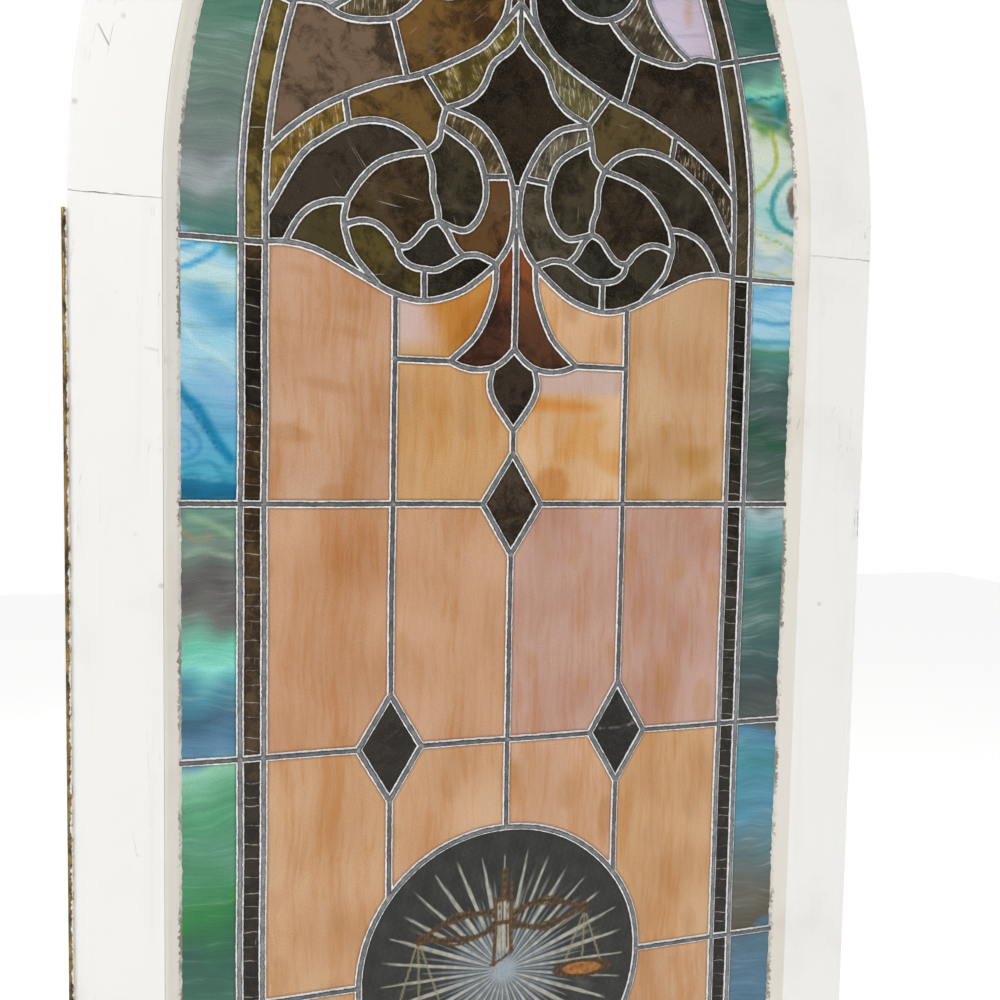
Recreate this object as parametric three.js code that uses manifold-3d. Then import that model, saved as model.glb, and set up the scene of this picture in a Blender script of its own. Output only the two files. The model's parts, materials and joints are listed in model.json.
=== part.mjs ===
// A hinged church window sash with a leaded stained glass light, in millimetres, +Z up.
//
// A painted wooden sash with a two-centred pointed head holds one leaded panel: a field of
// quarries round a painted roundel, scrollwork in the head, a narrow dark band and a wide
// border. Putty holds the panel in its rebate. A continuous hinge runs down the left stile.
//
// The design is drawn in the plane of the window: x across from the centre line, z up from the
// row of cames that carries the top diamond. y is depth, 0 on the front of the leadwork and
// growing away from the viewer. The finished group is moved so that its origin lies on the
// mount, the flat back of the jamb leaf of the hinge.
import * as THREE from "three";
import { mergeVertices } from "three/addons/utils/BufferGeometryUtils.js";
import Module from "manifold-3d";

const wasm = await Module();
wasm.setup();

// ---------------------------------------------------------------- driving dimensions
const ROW = 250; // height of a row of quarries
const FIELD = 250; // half width of the field of quarries
const COLUMN = FIELD / 2; // width of a quarry
const BAND = FIELD + 22; // centre line of the came outside the narrow dark band
const SIGHT = 328; // half width of the glass that shows between the putty
const PANEL = 338; // half width of the leaded panel, hidden in the rebate
const REBATE = 341; // half width between the rebates
const SASH = 420; // half width of the sash

const SPRINGING = 280; // height where the pointed head begins
const FIELD_RADIUS = 759; // radius of the field's arc, struck from beyond the centre line
const FOOT = -4 * ROW; // lowest row of the field
const BAND_FOOT = FOOT - (BAND - FIELD);
const SIGHT_FOOT = BAND_FOOT - (SIGHT - BAND);
const SASH_FOOT = SIGHT_FOOT - 110;

const SASH_FRONT = -9; // front face of the wood
const SASH_BACK = 35;
const REBATE_DEPTH = 6.3; // the panel's back rests here
const CAME_FACE = 6.5; // width of a came's flange
const CAME_DEPTH = 6;
const EDGE_CAME = 9;
const GLASS = 3;
const GAP = 0.3; // left between pieces that touch
const HIDDEN = 2; // how far short of the panel's edge the glass stops, inside the edge came

const ROUNDEL_RADIUS = 155;
const DIAMOND_HALF = 32;
const TOP_DIAMOND_RISE = 53;
const DIAMOND_RISE = 55;
const ARC_STEPS = 12; // straight runs in an arc of the leadwork
const HEAD_STEPS = 9; // and in an arc of the wood

const LEAF_THICKNESS = 1;
const LEAF_WIDTH = 19; // from the pin's centre to the edge of a leaf
const BARREL_RADIUS = 2.2;
const KNUCKLE = 50.8; // one modelled knuckle stands for four real half-inch ones
const KNUCKLES = 28;
const BARREL_SIDES = 8;
const HINGE_TOP = SPRINGING - 16;

const PIN_X = -SASH - GAP - BARREL_RADIUS;
const PIN_Y = SASH_FRONT - GAP - BARREL_RADIUS;
const HINGE_FOOT = HINGE_TOP - KNUCKLE * KNUCKLES;

// ---------------------------------------------------------------- lines of the design
const radiusOf = (half) => FIELD_RADIUS + half - FIELD;
const CENTRE = FIELD - FIELD_RADIUS; // x of the right arc's centre
const apexOf = (half) => SPRINGING + Math.sqrt(radiusOf(half) ** 2 - CENTRE ** 2);

// The right side of the pointed outline at a given half width, from the foot to the apex.
function side(half, foot, steps) {
  const radius = radiusOf(half);
  const top = Math.acos(-CENTRE / radius);
  const points = [[half, foot]];
  for (let i = 0; i <= steps; i++) {
    const turn = (top * i) / steps;
    points.push([CENTRE + radius * Math.cos(turn), SPRINGING + radius * Math.sin(turn)]);
  }
  points[points.length - 1][0] = 0;
  return points;
}

const mirror = (points) => points.map(([x, z]) => [-x, z]);

// The whole pointed outline, anticlockwise from the foot of its right side.
function pointed(half, foot, steps) {
  const right = side(half, foot, steps);
  return [...right, ...mirror(right).reverse().slice(1)];
}

// A point on the right side's arc at a given half width and angle, in degrees.
function onArc(half, degrees) {
  const turn = THREE.MathUtils.degToRad(degrees);
  const radius = radiusOf(half);
  return [CENTRE + radius * Math.cos(turn), SPRINGING + radius * Math.sin(turn)];
}

// A smooth line through hand-set points, in steps of about the given length.
function flow(points, step = 18) {
  const curve = new THREE.SplineCurve(points.map(([x, z]) => new THREE.Vector2(x, z)));
  const count = Math.max(2, Math.round(curve.getLength() / step));
  return curve.getSpacedPoints(count).map((p) => [p.x, p.y]);
}

function circle(x, z, radius, sides) {
  const ring = new THREE.EllipseCurve(x, z, radius, radius, 0, 2 * Math.PI);
  return ring.getPoints(sides).slice(0, sides).map((p) => [p.x, p.y]);
}

const diamond = (x, z, rise) => [
  [x + DIAMOND_HALF, z],
  [x, z + rise],
  [x - DIAMOND_HALF, z],
  [x, z - rise],
];

// The scrollwork of the head: the right half of each came, named for what it draws.
const SCROLLS = {
  cresting: [
    [250, 251], [228, 252], [200, 246], [160, 226], [125, 209],
    [95, 204.5], [62, 213.5], [38, 230], [21, 246],
  ],
  fleur_side: [[21, 246], [22, 222], [28, 200], [42, 171], [68, 145.5]],
  fleur_foot: [[68, 145.5], [54, 140], [38, 138], [22, 141], [10, 149], [0, 160]],
  teardrop: [[22, 141], [25.5, 124], [20, 106], [0, 77]],
  neck: [[21, 246], [11, 260], [4.5, 277], [2.5, 300], [5, 325], [13, 347], [27, 371], [46, 387], [76, 395]],
  kite_side: [[0, 476], [10, 461], [28, 444], [38, 421], [52, 406], [76, 395]],
  stem: [[76, 395], [80, 378], [83, 362], [95, 350]],
  great_scroll: [
    [250, 334], [232, 354], [205, 377], [176, 395], [140, 412],
    [98, 426.5], [45, 456], [27, 474], [0, 508],
  ],
  upper_lobe: [[95, 350], [108, 364], [128, 373.5], [150, 375], [172, 369], [195, 354], [218, 333], [250, 277]],
  lobe: [[95, 350], [120, 344.5], [142, 335], [160, 317], [173, 296]],
  volute_back: [[173, 296], [176, 278], [173, 262], [166, 244], [143, 218]],
  shoulder: [[173, 296], [190, 294.5], [208, 287], [221, 273], [232, 252]],
  lobe_stem: [[95, 350], [89, 332], [88, 312], [83, 297], [82, 284]],
  eye: [[82, 284], [58, 277], [45, 284], [36, 300], [33, 318], [37, 339], [48, 358], [79, 377]],
  leaf_top: [
    [82, 284], [93, 279], [103, 266], [113, 257], [124, 257],
    [132, 267], [145, 276.5], [160, 278], [174, 273],
  ],
  leaf_foot: [[123.5, 259], [120, 246], [110, 238], [96, 235.5], [80, 237], [56, 252]],
  leaf_side: [[82, 284], [73, 275], [65, 261], [56, 252]],
  bridge: [[56, 252], [40, 253.5], [21, 246]],
  crescent: [[98, 505], [112, 489], [130, 475], [150, 470], [168, 468.5], [183, 471], [200, 479], [223, 479]],
  upper_loop: [
    [27, 474], [16, 494], [12, 520], [13, 550], [22, 583], [45, 611], [80, 622], [113, 611],
    [134, 585], [141, 555], [141, 530], [155, 507], [172, 489], [190, 476],
  ],
  upper_kite_side: [[52, 614], [40, 640], [22, 668], [0, 735]],
  upper_scroll: [[159, 640], [130, 662], [95, 678], [60, 696], [30, 716], [0, 735]],
};

// Short straight cames of the head, the right half.
const TIES = [
  [[76, 395], [98, 426.5]],
  [[115, 421], [130, 475]],
  [[176, 395], [172, 369]],
  [[7, 335], [35, 332]],
  [[96, 235.5], [96, 205]],
  [[12.5, 530], [38, 541]],
  [[28, 593], [51, 581]],
  [[113, 611], [108, 587]],
  [[139, 567], [183, 592]],
  [[95, 619], [95, 678]],
  [[0, 560], [17, 574]],
  [[0, 775], [66, 775]],
  [[0, 281], [4.5, 281]],
  [[0, 324], [5, 324]],
];

const UPPER_EYE = { x: 83, z: 549, radius: 46 };

// Straight cames of the field and the border, the right half or, on the centre line, the whole.
function straightLines() {
  const roundelTop = Math.sqrt(ROUNDEL_RADIUS ** 2 - COLUMN ** 2);
  const middle = -2 * ROW;
  const edge = PANEL - EDGE_CAME / 2;
  const lines = [
    [[0, 160], [0, 282]],
    [[0, 77], [0, TOP_DIAMOND_RISE]],
    [[0, -TOP_DIAMOND_RISE], [0, middle + ROUNDEL_RADIUS]],
    [[0, middle - ROUNDEL_RADIUS], [0, FOOT]],
    [[0, 474], [0, 562]],
    [[0, 733], [0, apexOf(PANEL) - HIDDEN]],
    [[COLUMN, 208], [COLUMN, -ROW + DIAMOND_RISE]],
    [[COLUMN, -ROW - DIAMOND_RISE], [COLUMN, middle + roundelTop]],
    [[COLUMN, middle - roundelTop], [COLUMN, -3 * ROW + DIAMOND_RISE]],
    [[COLUMN, -3 * ROW - DIAMOND_RISE], [COLUMN, SIGHT_FOOT - 5]],
    [[COLUMN, 145.5], [68, 145.5]],
    [[FIELD, ROW], [edge, ROW]],
    [[DIAMOND_HALF, 0], [edge, 0]],
    [[ROUNDEL_RADIUS, middle], [edge, middle]],
    [[0, FOOT], [edge, FOOT]],
    [[0, BAND_FOOT], [BAND, BAND_FOOT]],
  ];
  for (const z of [-ROW, -3 * ROW]) {
    lines.push([[0, z], [COLUMN - DIAMOND_HALF, z]]);
    lines.push([[COLUMN + DIAMOND_HALF, z], [edge, z]]);
  }
  for (const angle of [15, 31.5]) lines.push([onArc(FIELD, angle), onArc(edge, angle)]);
  return lines;
}

// ---------------------------------------------------------------- solids from outlines
function solid(geometry) {
  geometry.deleteAttribute("normal");
  geometry.deleteAttribute("uv");
  const merged = mergeVertices(geometry, 1e-4);
  return new wasm.Manifold(
    new wasm.Mesh({
      numProp: 3,
      vertProperties: merged.attributes.position.array,
      triVerts: new Uint32Array(merged.index.array),
    }),
  );
}

const shapeOf = (points) => new THREE.Shape(points.map(([a, b]) => new THREE.Vector2(a, b)));
const flat = (depth) => ({ depth, bevelEnabled: false });

// An outline in the window's plane, given thickness from a front depth to a back depth.
function slab(outline, front, back) {
  const geometry = new THREE.ExtrudeGeometry(shapeOf(outline), flat(back - front));
  geometry.rotateX(Math.PI / 2);
  geometry.translate(0, back, 0);
  return solid(geometry);
}

// An outline in plan, x and y, given height.
function column(outline, foot, top) {
  const geometry = new THREE.ExtrudeGeometry(shapeOf(outline), flat(top - foot));
  geometry.translate(0, 0, foot);
  return solid(geometry);
}

// A solid between two outlines with the same count of points, one at each depth.
function taper(front, frontY, back, backY) {
  const count = front.length;
  const positions = [
    ...front.flatMap(([x, z]) => [x, frontY, z]),
    ...back.flatMap(([x, z]) => [x, backY, z]),
  ];
  const cap = THREE.ShapeUtils.triangulateShape(shapeOf(front).getPoints(), []);
  const index = cap.flatMap(([a, b, c]) => [a, b, c, count + c, count + b, count + a]);
  for (let i = 0; i < count; i++) {
    const j = (i + 1) % count;
    index.push(i, count + i, count + j, i, count + j, j);
  }
  const geometry = new THREE.BufferGeometry();
  geometry.setAttribute("position", new THREE.Float32BufferAttribute(positions, 3));
  geometry.setIndex(index);
  return solid(geometry);
}

// Each point of a line moved sideways, mitred so that the line keeps its distance.
function beside(points, distance, closed) {
  const count = points.length;
  return points.map(([x, z], i) => {
    const before = closed ? points[(i + count - 1) % count] : points[Math.max(i - 1, 0)];
    const after = closed ? points[(i + 1) % count] : points[Math.min(i + 1, count - 1)];
    const into = new THREE.Vector2(x - before[0], z - before[1]).normalize();
    const out = new THREE.Vector2(after[0] - x, after[1] - z).normalize();
    const along = into.clone().add(out).normalize();
    const stretch = into.length() && out.length() ? Math.max(along.dot(out), 0.35) : 1;
    return [x - (along.y * distance) / stretch, z + (along.x * distance) / stretch];
  });
}

// A strip of lead laid along an open line.
function strip(points, width, front, back) {
  const left = beside(points, width / 2, false);
  const right = beside(points, -width / 2, false);
  return slab([...right, ...left.reverse()], front, back);
}

// A strip of lead laid round a closed, anticlockwise line.
function ring(points, width, front, back) {
  const outer = slab(beside(points, -width / 2, true), front, back);
  return outer.subtract(slab(beside(points, width / 2, true), front - 1, back + 1));
}

// ---------------------------------------------------------------- leadwork and glass
// Every came of the panel as one solid, its flanges of the given width.
function cames(face, front, back) {
  const open = [
    ...Object.values(SCROLLS).map((points) => flow(points)),
    ...TIES,
    side(FIELD, BAND_FOOT, ARC_STEPS),
    side(BAND, SIGHT_FOOT - 5, ARC_STEPS),
    ...straightLines(),
  ];
  const rightEye = circle(UPPER_EYE.x, UPPER_EYE.z, UPPER_EYE.radius, 14);
  const closed = [
    circle(0, -2 * ROW, ROUNDEL_RADIUS, 32),
    diamond(0, 0, TOP_DIAMOND_RISE),
    rightEye,
    mirror(rightEye).reverse(),
  ];
  for (const x of [-COLUMN, COLUMN])
    for (const z of [-ROW, -3 * ROW]) closed.push(diamond(x, z, DIAMOND_RISE));
  const edge = pointed(PANEL - EDGE_CAME / 2, SIGHT_FOOT - 10 + EDGE_CAME / 2, ARC_STEPS);
  const lead = [ring(edge, EDGE_CAME + face - CAME_FACE, front, back)];
  for (const line of closed) lead.push(ring(line, face, front, back));
  for (const line of open) {
    lead.push(strip(line, face, front, back));
    if (line.some(([x]) => x !== 0)) lead.push(strip(mirror(line), face, front, back));
  }
  return wasm.Manifold.union(lead);
}

// A point inside each pane that has a piece of its own, by the pane's name.
function paneSeeds() {
  const seeds = { kite: [0, 420], roundel: [0, -2 * ROW], teardrop: [0, 120], diamond_top: [0, 0] };
  const sides = { left: -1, right: 1 };
  for (const [name, hand] of Object.entries(sides)) {
    const inner = (hand * COLUMN) / 2;
    const outer = 3 * inner;
    for (let row = 1; row <= 5; row++) {
      const z = row === 3 ? -430 : row === 4 ? -570 : ROW / 2 - (row - 1) * ROW;
      seeds[`quarry_${row}_outer_${name}`] = [outer, row === 3 || row === 4 ? z : z - 10];
      seeds[`quarry_${row}_inner_${name}`] = [row === 1 ? inner : hand * 40, row === 1 ? 60 : z];
    }
    seeds[`quarry_3_inner_${name}`] = [hand * 40, -320];
    seeds[`quarry_4_inner_${name}`] = [hand * 40, -680];
    seeds[`fleur_${name}`] = [hand * 25, 155];
    seeds[`fleur_shoulder_${name}`] = [hand * 95, 175];
    seeds[`diamond_upper_${name}`] = [hand * COLUMN, -ROW];
    seeds[`diamond_lower_${name}`] = [hand * COLUMN, -3 * ROW];
    const border = (BAND + SIGHT) / 2;
    for (let i = 0; i < 5; i++)
      seeds[`border_${i + 1}_${name}`] = [hand * border, FOOT + (i + 0.5) * ROW];
    [7, 23, 40].forEach((angle, i) => {
      const [x, z] = onArc(border, angle);
      seeds[`border_${i + 6}_${name}`] = [hand * x, z];
    });
  }
  return seeds;
}

// The solids of a cut sheet, each with the name of the seed that it holds, if any.
function namedPieces(sheet, seeds) {
  const probes = Object.entries(seeds).map(([name, [x, z]]) => {
    const tip = [[x - 0.5, z - 0.5], [x + 0.5, z - 0.5], [x, z + 0.5]];
    return [name, slab(tip, -1, CAME_DEPTH + 1)];
  });
  return sheet.decompose().map((piece) => {
    const found = probes.find(([, probe]) => !piece.intersect(probe).isEmpty());
    return [found && found[0], piece];
  });
}

const glassFront = (CAME_DEPTH - GLASS) / 2;
const glassBack = glassFront + GLASS;
const seeds = paneSeeds();

// A sheet that fills the panel back to the given depth, cut along the cames.
function cutSheet(back, face) {
  const outline = pointed(PANEL - HIDDEN, SIGHT_FOOT - 10 + HIDDEN, ARC_STEPS);
  const sheet = slab(outline, glassFront, back);
  return namedPieces(sheet.subtract(cames(face, -1, CAME_DEPTH + 1)), seeds);
}

const panes = cutSheet(glassBack, CAME_FACE + 2 * GAP).filter(([name]) => name);

// The small panes of the scrollwork, the dark band and the foot stay in one piece with the lead.
// Their fronts lie as deep as the other panes', and their backs are flush with the lead's.
const smallPanes = cutSheet(CAME_DEPTH, CAME_FACE / 2)
  .filter(([name]) => !name)
  .map(([, piece]) => piece);
const leadwork = wasm.Manifold.union([cames(CAME_FACE, 0, CAME_DEPTH), ...smallPanes]);

// ---------------------------------------------------------------- sash
// One half of the pointed head, from the springing to the joint at the apex.
function headHalf(inner, front, back) {
  const outline = [
    ...side(SASH, SPRINGING, HEAD_STEPS).slice(1),
    ...side(inner, SPRINGING, HEAD_STEPS).slice(1).reverse(),
  ];
  return slab(outline, front, back);
}

const box = (left, right, foot, top, front, back) =>
  slab([[left, foot], [right, foot], [right, top], [left, top]], front, back);

function head() {
  const whole = headHalf(REBATE, SASH_FRONT, REBATE_DEPTH).add(headHalf(SIGHT, REBATE_DEPTH, SASH_BACK));
  return whole.intersect(box(GAP / 2, 2 * SASH, SPRINGING + GAP / 2, 2000, -100, 100));
}

function stile() {
  const top = SPRINGING - GAP / 2;
  const face = box(REBATE, SASH, SASH_FOOT, top, SASH_FRONT, REBATE_DEPTH);
  return face.add(box(SIGHT, SASH, SASH_FOOT, top, REBATE_DEPTH, SASH_BACK));
}

function rail() {
  const face = REBATE - GAP;
  const inner = SIGHT - GAP;
  const rebateFoot = SIGHT_FOOT - (REBATE - SIGHT);
  const front = box(-face, face, SASH_FOOT, rebateFoot, SASH_FRONT, REBATE_DEPTH - GAP);
  return front.add(box(-inner, inner, SASH_FOOT, SIGHT_FOOT, REBATE_DEPTH - GAP, SASH_BACK));
}

// The bevelled bead of putty from the glass up to the face of the wood.
function putty() {
  const at = (half) => pointed(half, SIGHT_FOOT - (half - SIGHT), HEAD_STEPS);
  const outer = REBATE - GAP;
  const slope = (outer - SIGHT - 1) / (-GAP - SASH_FRONT);
  const bead = slab(at(outer), SASH_FRONT + GAP, -GAP);
  const over = 1;
  const frontHalf = outer - 0.5 + slope * over;
  const backHalf = SIGHT - slope * over;
  return bead.subtract(taper(at(frontHalf), SASH_FRONT + GAP - over, at(backHalf), -GAP + over));
}

// ---------------------------------------------------------------- hinge
// One leaf with every second knuckle. hand is 1 for the leaf on the sash, -1 for the jamb's.
function leaf(hand, first) {
  const inner = PIN_X + hand * (BARREL_RADIUS - LEAF_THICKNESS);
  const outer = PIN_X + hand * BARREL_RADIUS;
  const [low, high] = [Math.min(inner, outer), Math.max(inner, outer)];
  const rectangle = (from, to) => [[low, from], [high, from], [high, to], [low, to]];
  const clear = PIN_Y + BARREL_RADIUS + GAP;
  const parts = [column(rectangle(clear, PIN_Y + LEAF_WIDTH), HINGE_FOOT, HINGE_TOP)];
  const barrel = circle(PIN_X, PIN_Y, BARREL_RADIUS, BARREL_SIDES);
  for (let i = first; i < KNUCKLES; i += 2) {
    const foot = HINGE_FOOT + i * KNUCKLE + GAP / 2;
    const top = foot + KNUCKLE - GAP;
    parts.push(column(barrel, foot, top));
    parts.push(column(rectangle(PIN_Y, clear + 0.5), foot, top));
  }
  return wasm.Manifold.union(parts);
}

// ---------------------------------------------------------------- the named pieces
const finish = (color, roughness, metalness = 0) =>
  new THREE.MeshStandardMaterial({ color, roughness, metalness });

const FINISHES = {
  paint: finish(0xecebe6, 0.5),
  putty: finish(0xd9cfc0, 0.7),
  lead: finish(0x777a7c, 0.55, 0.6),
  brass: finish(0xb08a4a, 0.35, 0.9),
  amber: finish(0xcf9f74, 0.25),
  teal: finish(0x5f9c93, 0.25),
  dark: finish(0x2a221b, 0.2),
  painted: finish(0x3c4146, 0.3),
};

const group = new THREE.Group();

// Adds a solid as a mesh, without the needless vertices that the booleans leave on flat faces.
function place(name, shape, material) {
  const made = shape.asOriginal().simplify(0.01).getMesh();
  const geometry = new THREE.BufferGeometry();
  geometry.setAttribute("position", new THREE.BufferAttribute(made.vertProperties.slice(), 3));
  geometry.setIndex(new THREE.BufferAttribute(made.triVerts, 1));
  geometry.computeVertexNormals();
  const mesh = new THREE.Mesh(geometry, material);
  mesh.name = name;
  group.add(mesh);
}

const flip = (shape) => shape.mirror([1, 0, 0]);

place("stile_left", flip(stile()), FINISHES.paint);
place("stile_right", stile(), FINISHES.paint);
place("head_left", flip(head()), FINISHES.paint);
place("head_right", head(), FINISHES.paint);
place("bottom_rail", rail(), FINISHES.paint);
place("glazing_putty", putty(), FINISHES.putty);
place("leadwork", leadwork, FINISHES.lead);
place("hinge_leaf_sash", leaf(1, 1), FINISHES.brass);
place("hinge_leaf_jamb", leaf(-1, 0), FINISHES.brass);

function glassFinish(name) {
  if (name.startsWith("border")) return FINISHES.teal;
  if (name === "roundel") return FINISHES.painted;
  if (/^(quarry|fleur_shoulder)/.test(name)) return FINISHES.amber;
  return FINISHES.dark;
}

for (const [name, piece] of panes) place(name, piece, glassFinish(name));

// The origin goes to the middle of the jamb leaf's flat back, where the hinge is screwed on.
const mountX = PIN_X - BARREL_RADIUS;
const mountY = PIN_Y + (BARREL_RADIUS + GAP + LEAF_WIDTH) / 2;
group.position.set(-mountX, -mountY, -(HINGE_TOP + HINGE_FOOT) / 2);

export default group;
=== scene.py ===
# %% [markdown]
# # A hinged stained glass sash
#
# The looks of a painted wooden window sash with a leaded light. Lengths are in millimetres in
# the plane of the window, x across from the centre line and z up from the row of cames that
# carries the top diamond, with y the depth, 0 on the front of the leadwork. Only when a mesh is
# made are they moved to the frame of the CAD model, in metres.

import json
import math

import bpy
import numpy as np
from mathutils import Matrix, Vector
from mathutils.geometry import delaunay_2d_cdt

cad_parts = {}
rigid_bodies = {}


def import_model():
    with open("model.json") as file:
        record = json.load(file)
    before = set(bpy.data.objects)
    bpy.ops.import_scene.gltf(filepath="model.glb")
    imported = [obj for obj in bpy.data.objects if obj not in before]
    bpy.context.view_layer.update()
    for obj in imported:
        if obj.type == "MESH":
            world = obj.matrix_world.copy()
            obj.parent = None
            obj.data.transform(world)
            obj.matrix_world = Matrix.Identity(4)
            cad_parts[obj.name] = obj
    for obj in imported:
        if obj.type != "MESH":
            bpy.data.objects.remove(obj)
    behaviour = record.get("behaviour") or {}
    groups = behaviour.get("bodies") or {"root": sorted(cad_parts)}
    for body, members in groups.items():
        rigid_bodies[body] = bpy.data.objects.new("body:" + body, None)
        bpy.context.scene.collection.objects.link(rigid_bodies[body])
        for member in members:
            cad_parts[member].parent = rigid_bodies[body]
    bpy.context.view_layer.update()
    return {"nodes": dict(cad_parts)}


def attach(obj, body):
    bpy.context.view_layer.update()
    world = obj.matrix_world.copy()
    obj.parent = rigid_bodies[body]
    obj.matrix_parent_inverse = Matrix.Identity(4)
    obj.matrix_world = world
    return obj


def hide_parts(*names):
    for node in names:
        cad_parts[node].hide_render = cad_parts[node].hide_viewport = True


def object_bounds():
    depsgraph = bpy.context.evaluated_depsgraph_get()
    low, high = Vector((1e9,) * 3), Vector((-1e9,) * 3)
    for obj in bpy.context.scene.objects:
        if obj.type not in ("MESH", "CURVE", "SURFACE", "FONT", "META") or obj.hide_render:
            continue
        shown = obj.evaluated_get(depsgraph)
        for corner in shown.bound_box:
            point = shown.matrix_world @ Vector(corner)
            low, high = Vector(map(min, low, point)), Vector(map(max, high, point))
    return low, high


for default in list(bpy.data.objects):
    bpy.data.objects.remove(default)
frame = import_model()

# %% [markdown]
# ## Driving dimensions
#
# These are the sizes that the solids are built from, repeated here because the finer geometry
# hangs on them.

# %%
ROW = 250.0
FIELD = 250.0
COLUMN = FIELD / 2
BAND = FIELD + 22
SIGHT = 328.0
PANEL = 338.0
REBATE = 341.0
SASH = 420.0
SPRINGING = 280.0
FIELD_RADIUS = 759.0
CENTRE = FIELD - FIELD_RADIUS
FOOT = -4 * ROW
BAND_FOOT = FOOT - (BAND - FIELD)
SIGHT_FOOT = BAND_FOOT - (SIGHT - BAND)
SASH_FOOT = SIGHT_FOOT - 110
SASH_FRONT = -9.0
SASH_BACK = 35.0
REBATE_DEPTH = 6.3

CAME_FACE = 6.5
STRAIGHT_FACE = 5.7
CAME_DEPTH = 6.0
EDGE_CAME = 9.0
GLASS_FRONT = 1.5
GLASS_BACK = 4.5
ROUNDEL_RADIUS = 155.0
DIAMOND_HALF = 32.0
TOP_DIAMOND_RISE = 53.0
DIAMOND_RISE = 55.0
EYE_X, EYE_Z, EYE_RADIUS = 83.0, 549.0, 46.0

BARREL_RADIUS = 2.2
CLEARANCE = 0.3
PIN_X = -SASH - CLEARANCE - BARREL_RADIUS
PIN_Y = SASH_FRONT - CLEARANCE - BARREL_RADIUS
LEAF_WIDTH = 19.0
KNUCKLE = 12.7
KNUCKLES = 112
HINGE_TOP = SPRINGING - 16
HINGE_FOOT = HINGE_TOP - KNUCKLE * KNUCKLES

MOUNT = np.array([
    PIN_X - BARREL_RADIUS,
    PIN_Y + (BARREL_RADIUS + CLEARANCE + LEAF_WIDTH) / 2,
    (HINGE_TOP + HINGE_FOOT) / 2,
])
ROUNDEL = np.array([0.0, -2 * ROW])
CURVE_STEP, ARC_STEP, STRAIGHT_STEP = 3.6, 12.0, 25.0
SMALLEST_PANE, LARGEST_PANE = 300.0, 2e5
rng = np.random.default_rng(4)

# %% [markdown]
# ## Small tools for curves
#
# Noise is a sum of sine waves with seeded directions and phases, so that it can be worked out
# for whole arrays at once.


# %%
def ripple(x, z, length, seed, waves=7):
    """Smooth noise of about -1 to 1: the mean of sine waves in random directions, whose
    wavelengths lie round the given length."""
    own = np.random.default_rng(seed)
    total = np.zeros(np.broadcast(x, z).shape)
    for _ in range(waves):
        turn, phase = own.uniform(0, 2 * math.pi, 2)
        wave = 2 * math.pi / (length * own.uniform(0.6, 1.7))
        total += np.sin(wave * (x * math.cos(turn) + z * math.sin(turn)) + phase)
    return total / math.sqrt(waves)


def warp(points):
    """Points of the design moved by up to half a millimetre, as hand-bent lead lies."""
    x, z = points[:, 0], points[:, 1]
    return points + 0.35 * np.column_stack([ripple(x, z, 140, 1), ripple(x, z, 140, 2)])


def resample(points, step):
    """Points at even distances along a line, the ends kept."""
    points = np.asarray(points, float)
    run = np.concatenate([[0], np.cumsum(np.hypot(*np.diff(points, axis=0).T))])
    even = np.linspace(0, run[-1], max(2, int(round(run[-1] / step)) + 1))
    return np.column_stack([np.interp(even, run, points[:, 0]), np.interp(even, run, points[:, 1])])


def flow(points, step):
    """A smooth line through given points: cubic segments whose slope at a point is half the
    way from the point before it to the point after it."""
    p = np.asarray(points, float)
    padded = np.vstack([p[:1], p, p[-1:]])
    t = np.linspace(0, 1, 16, endpoint=False)[:, None]
    parts = []
    for before, a, b, after in zip(padded[:-3], padded[1:-2], padded[2:-1], padded[3:]):
        out, into = (b - before) / 2, (after - a) / 2
        cubic, square = 2 * a - 2 * b + out + into, 3 * b - 3 * a - 2 * out - into
        parts.append(cubic * t**3 + square * t**2 + out * t + a)
    return resample(np.vstack([*parts, p[-1:]]), step)


def arc_radius(half):
    return FIELD_RADIUS + half - FIELD


def arc_top(half, past=0.0):
    """The angle at which the right side's arc is a little past the centre line."""
    return math.acos((past - CENTRE) / arc_radius(half))


def arc_point(half, turn):
    """A point of the right side's arc, struck from beyond the centre line, at an angle in
    radians from the springing."""
    radius = arc_radius(half)
    return np.column_stack([CENTRE + radius * np.cos(turn), SPRINGING + radius * np.sin(turn)])


def side(half, foot, step):
    """The right side of the pointed outline at a half width: straight up, then its arc."""
    top = arc_top(half)
    straight = resample([[half, foot], [half, SPRINGING]], STRAIGHT_STEP)
    turns = np.linspace(0, top, int(arc_radius(half) * top / step) + 1)[1:]
    return np.vstack([straight, arc_point(half, turns)])


def pointed(half, foot, step):
    """The whole pointed outline, anticlockwise from the foot of its right side."""
    right = side(half, foot, step)
    return np.vstack([right, (right * [-1, 1])[::-1][1:]])


def circle(x, z, radius, count):
    """A ring of points, anticlockwise from its right side."""
    turns = np.linspace(0, 2 * math.pi, count, endpoint=False)
    return np.column_stack([x + radius * np.cos(turns), z + radius * np.sin(turns)])


def diamond(x, z, rise):
    """The outline of a diamond of the common width, anticlockwise from its right corner."""
    half = DIAMOND_HALF
    corners = [[x + half, z], [x, z + rise], [x - half, z], [x, z - rise], [x + half, z]]
    return np.vstack([resample(pair, ARC_STEP)[:-1] for pair in zip(corners, corners[1:])])
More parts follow.
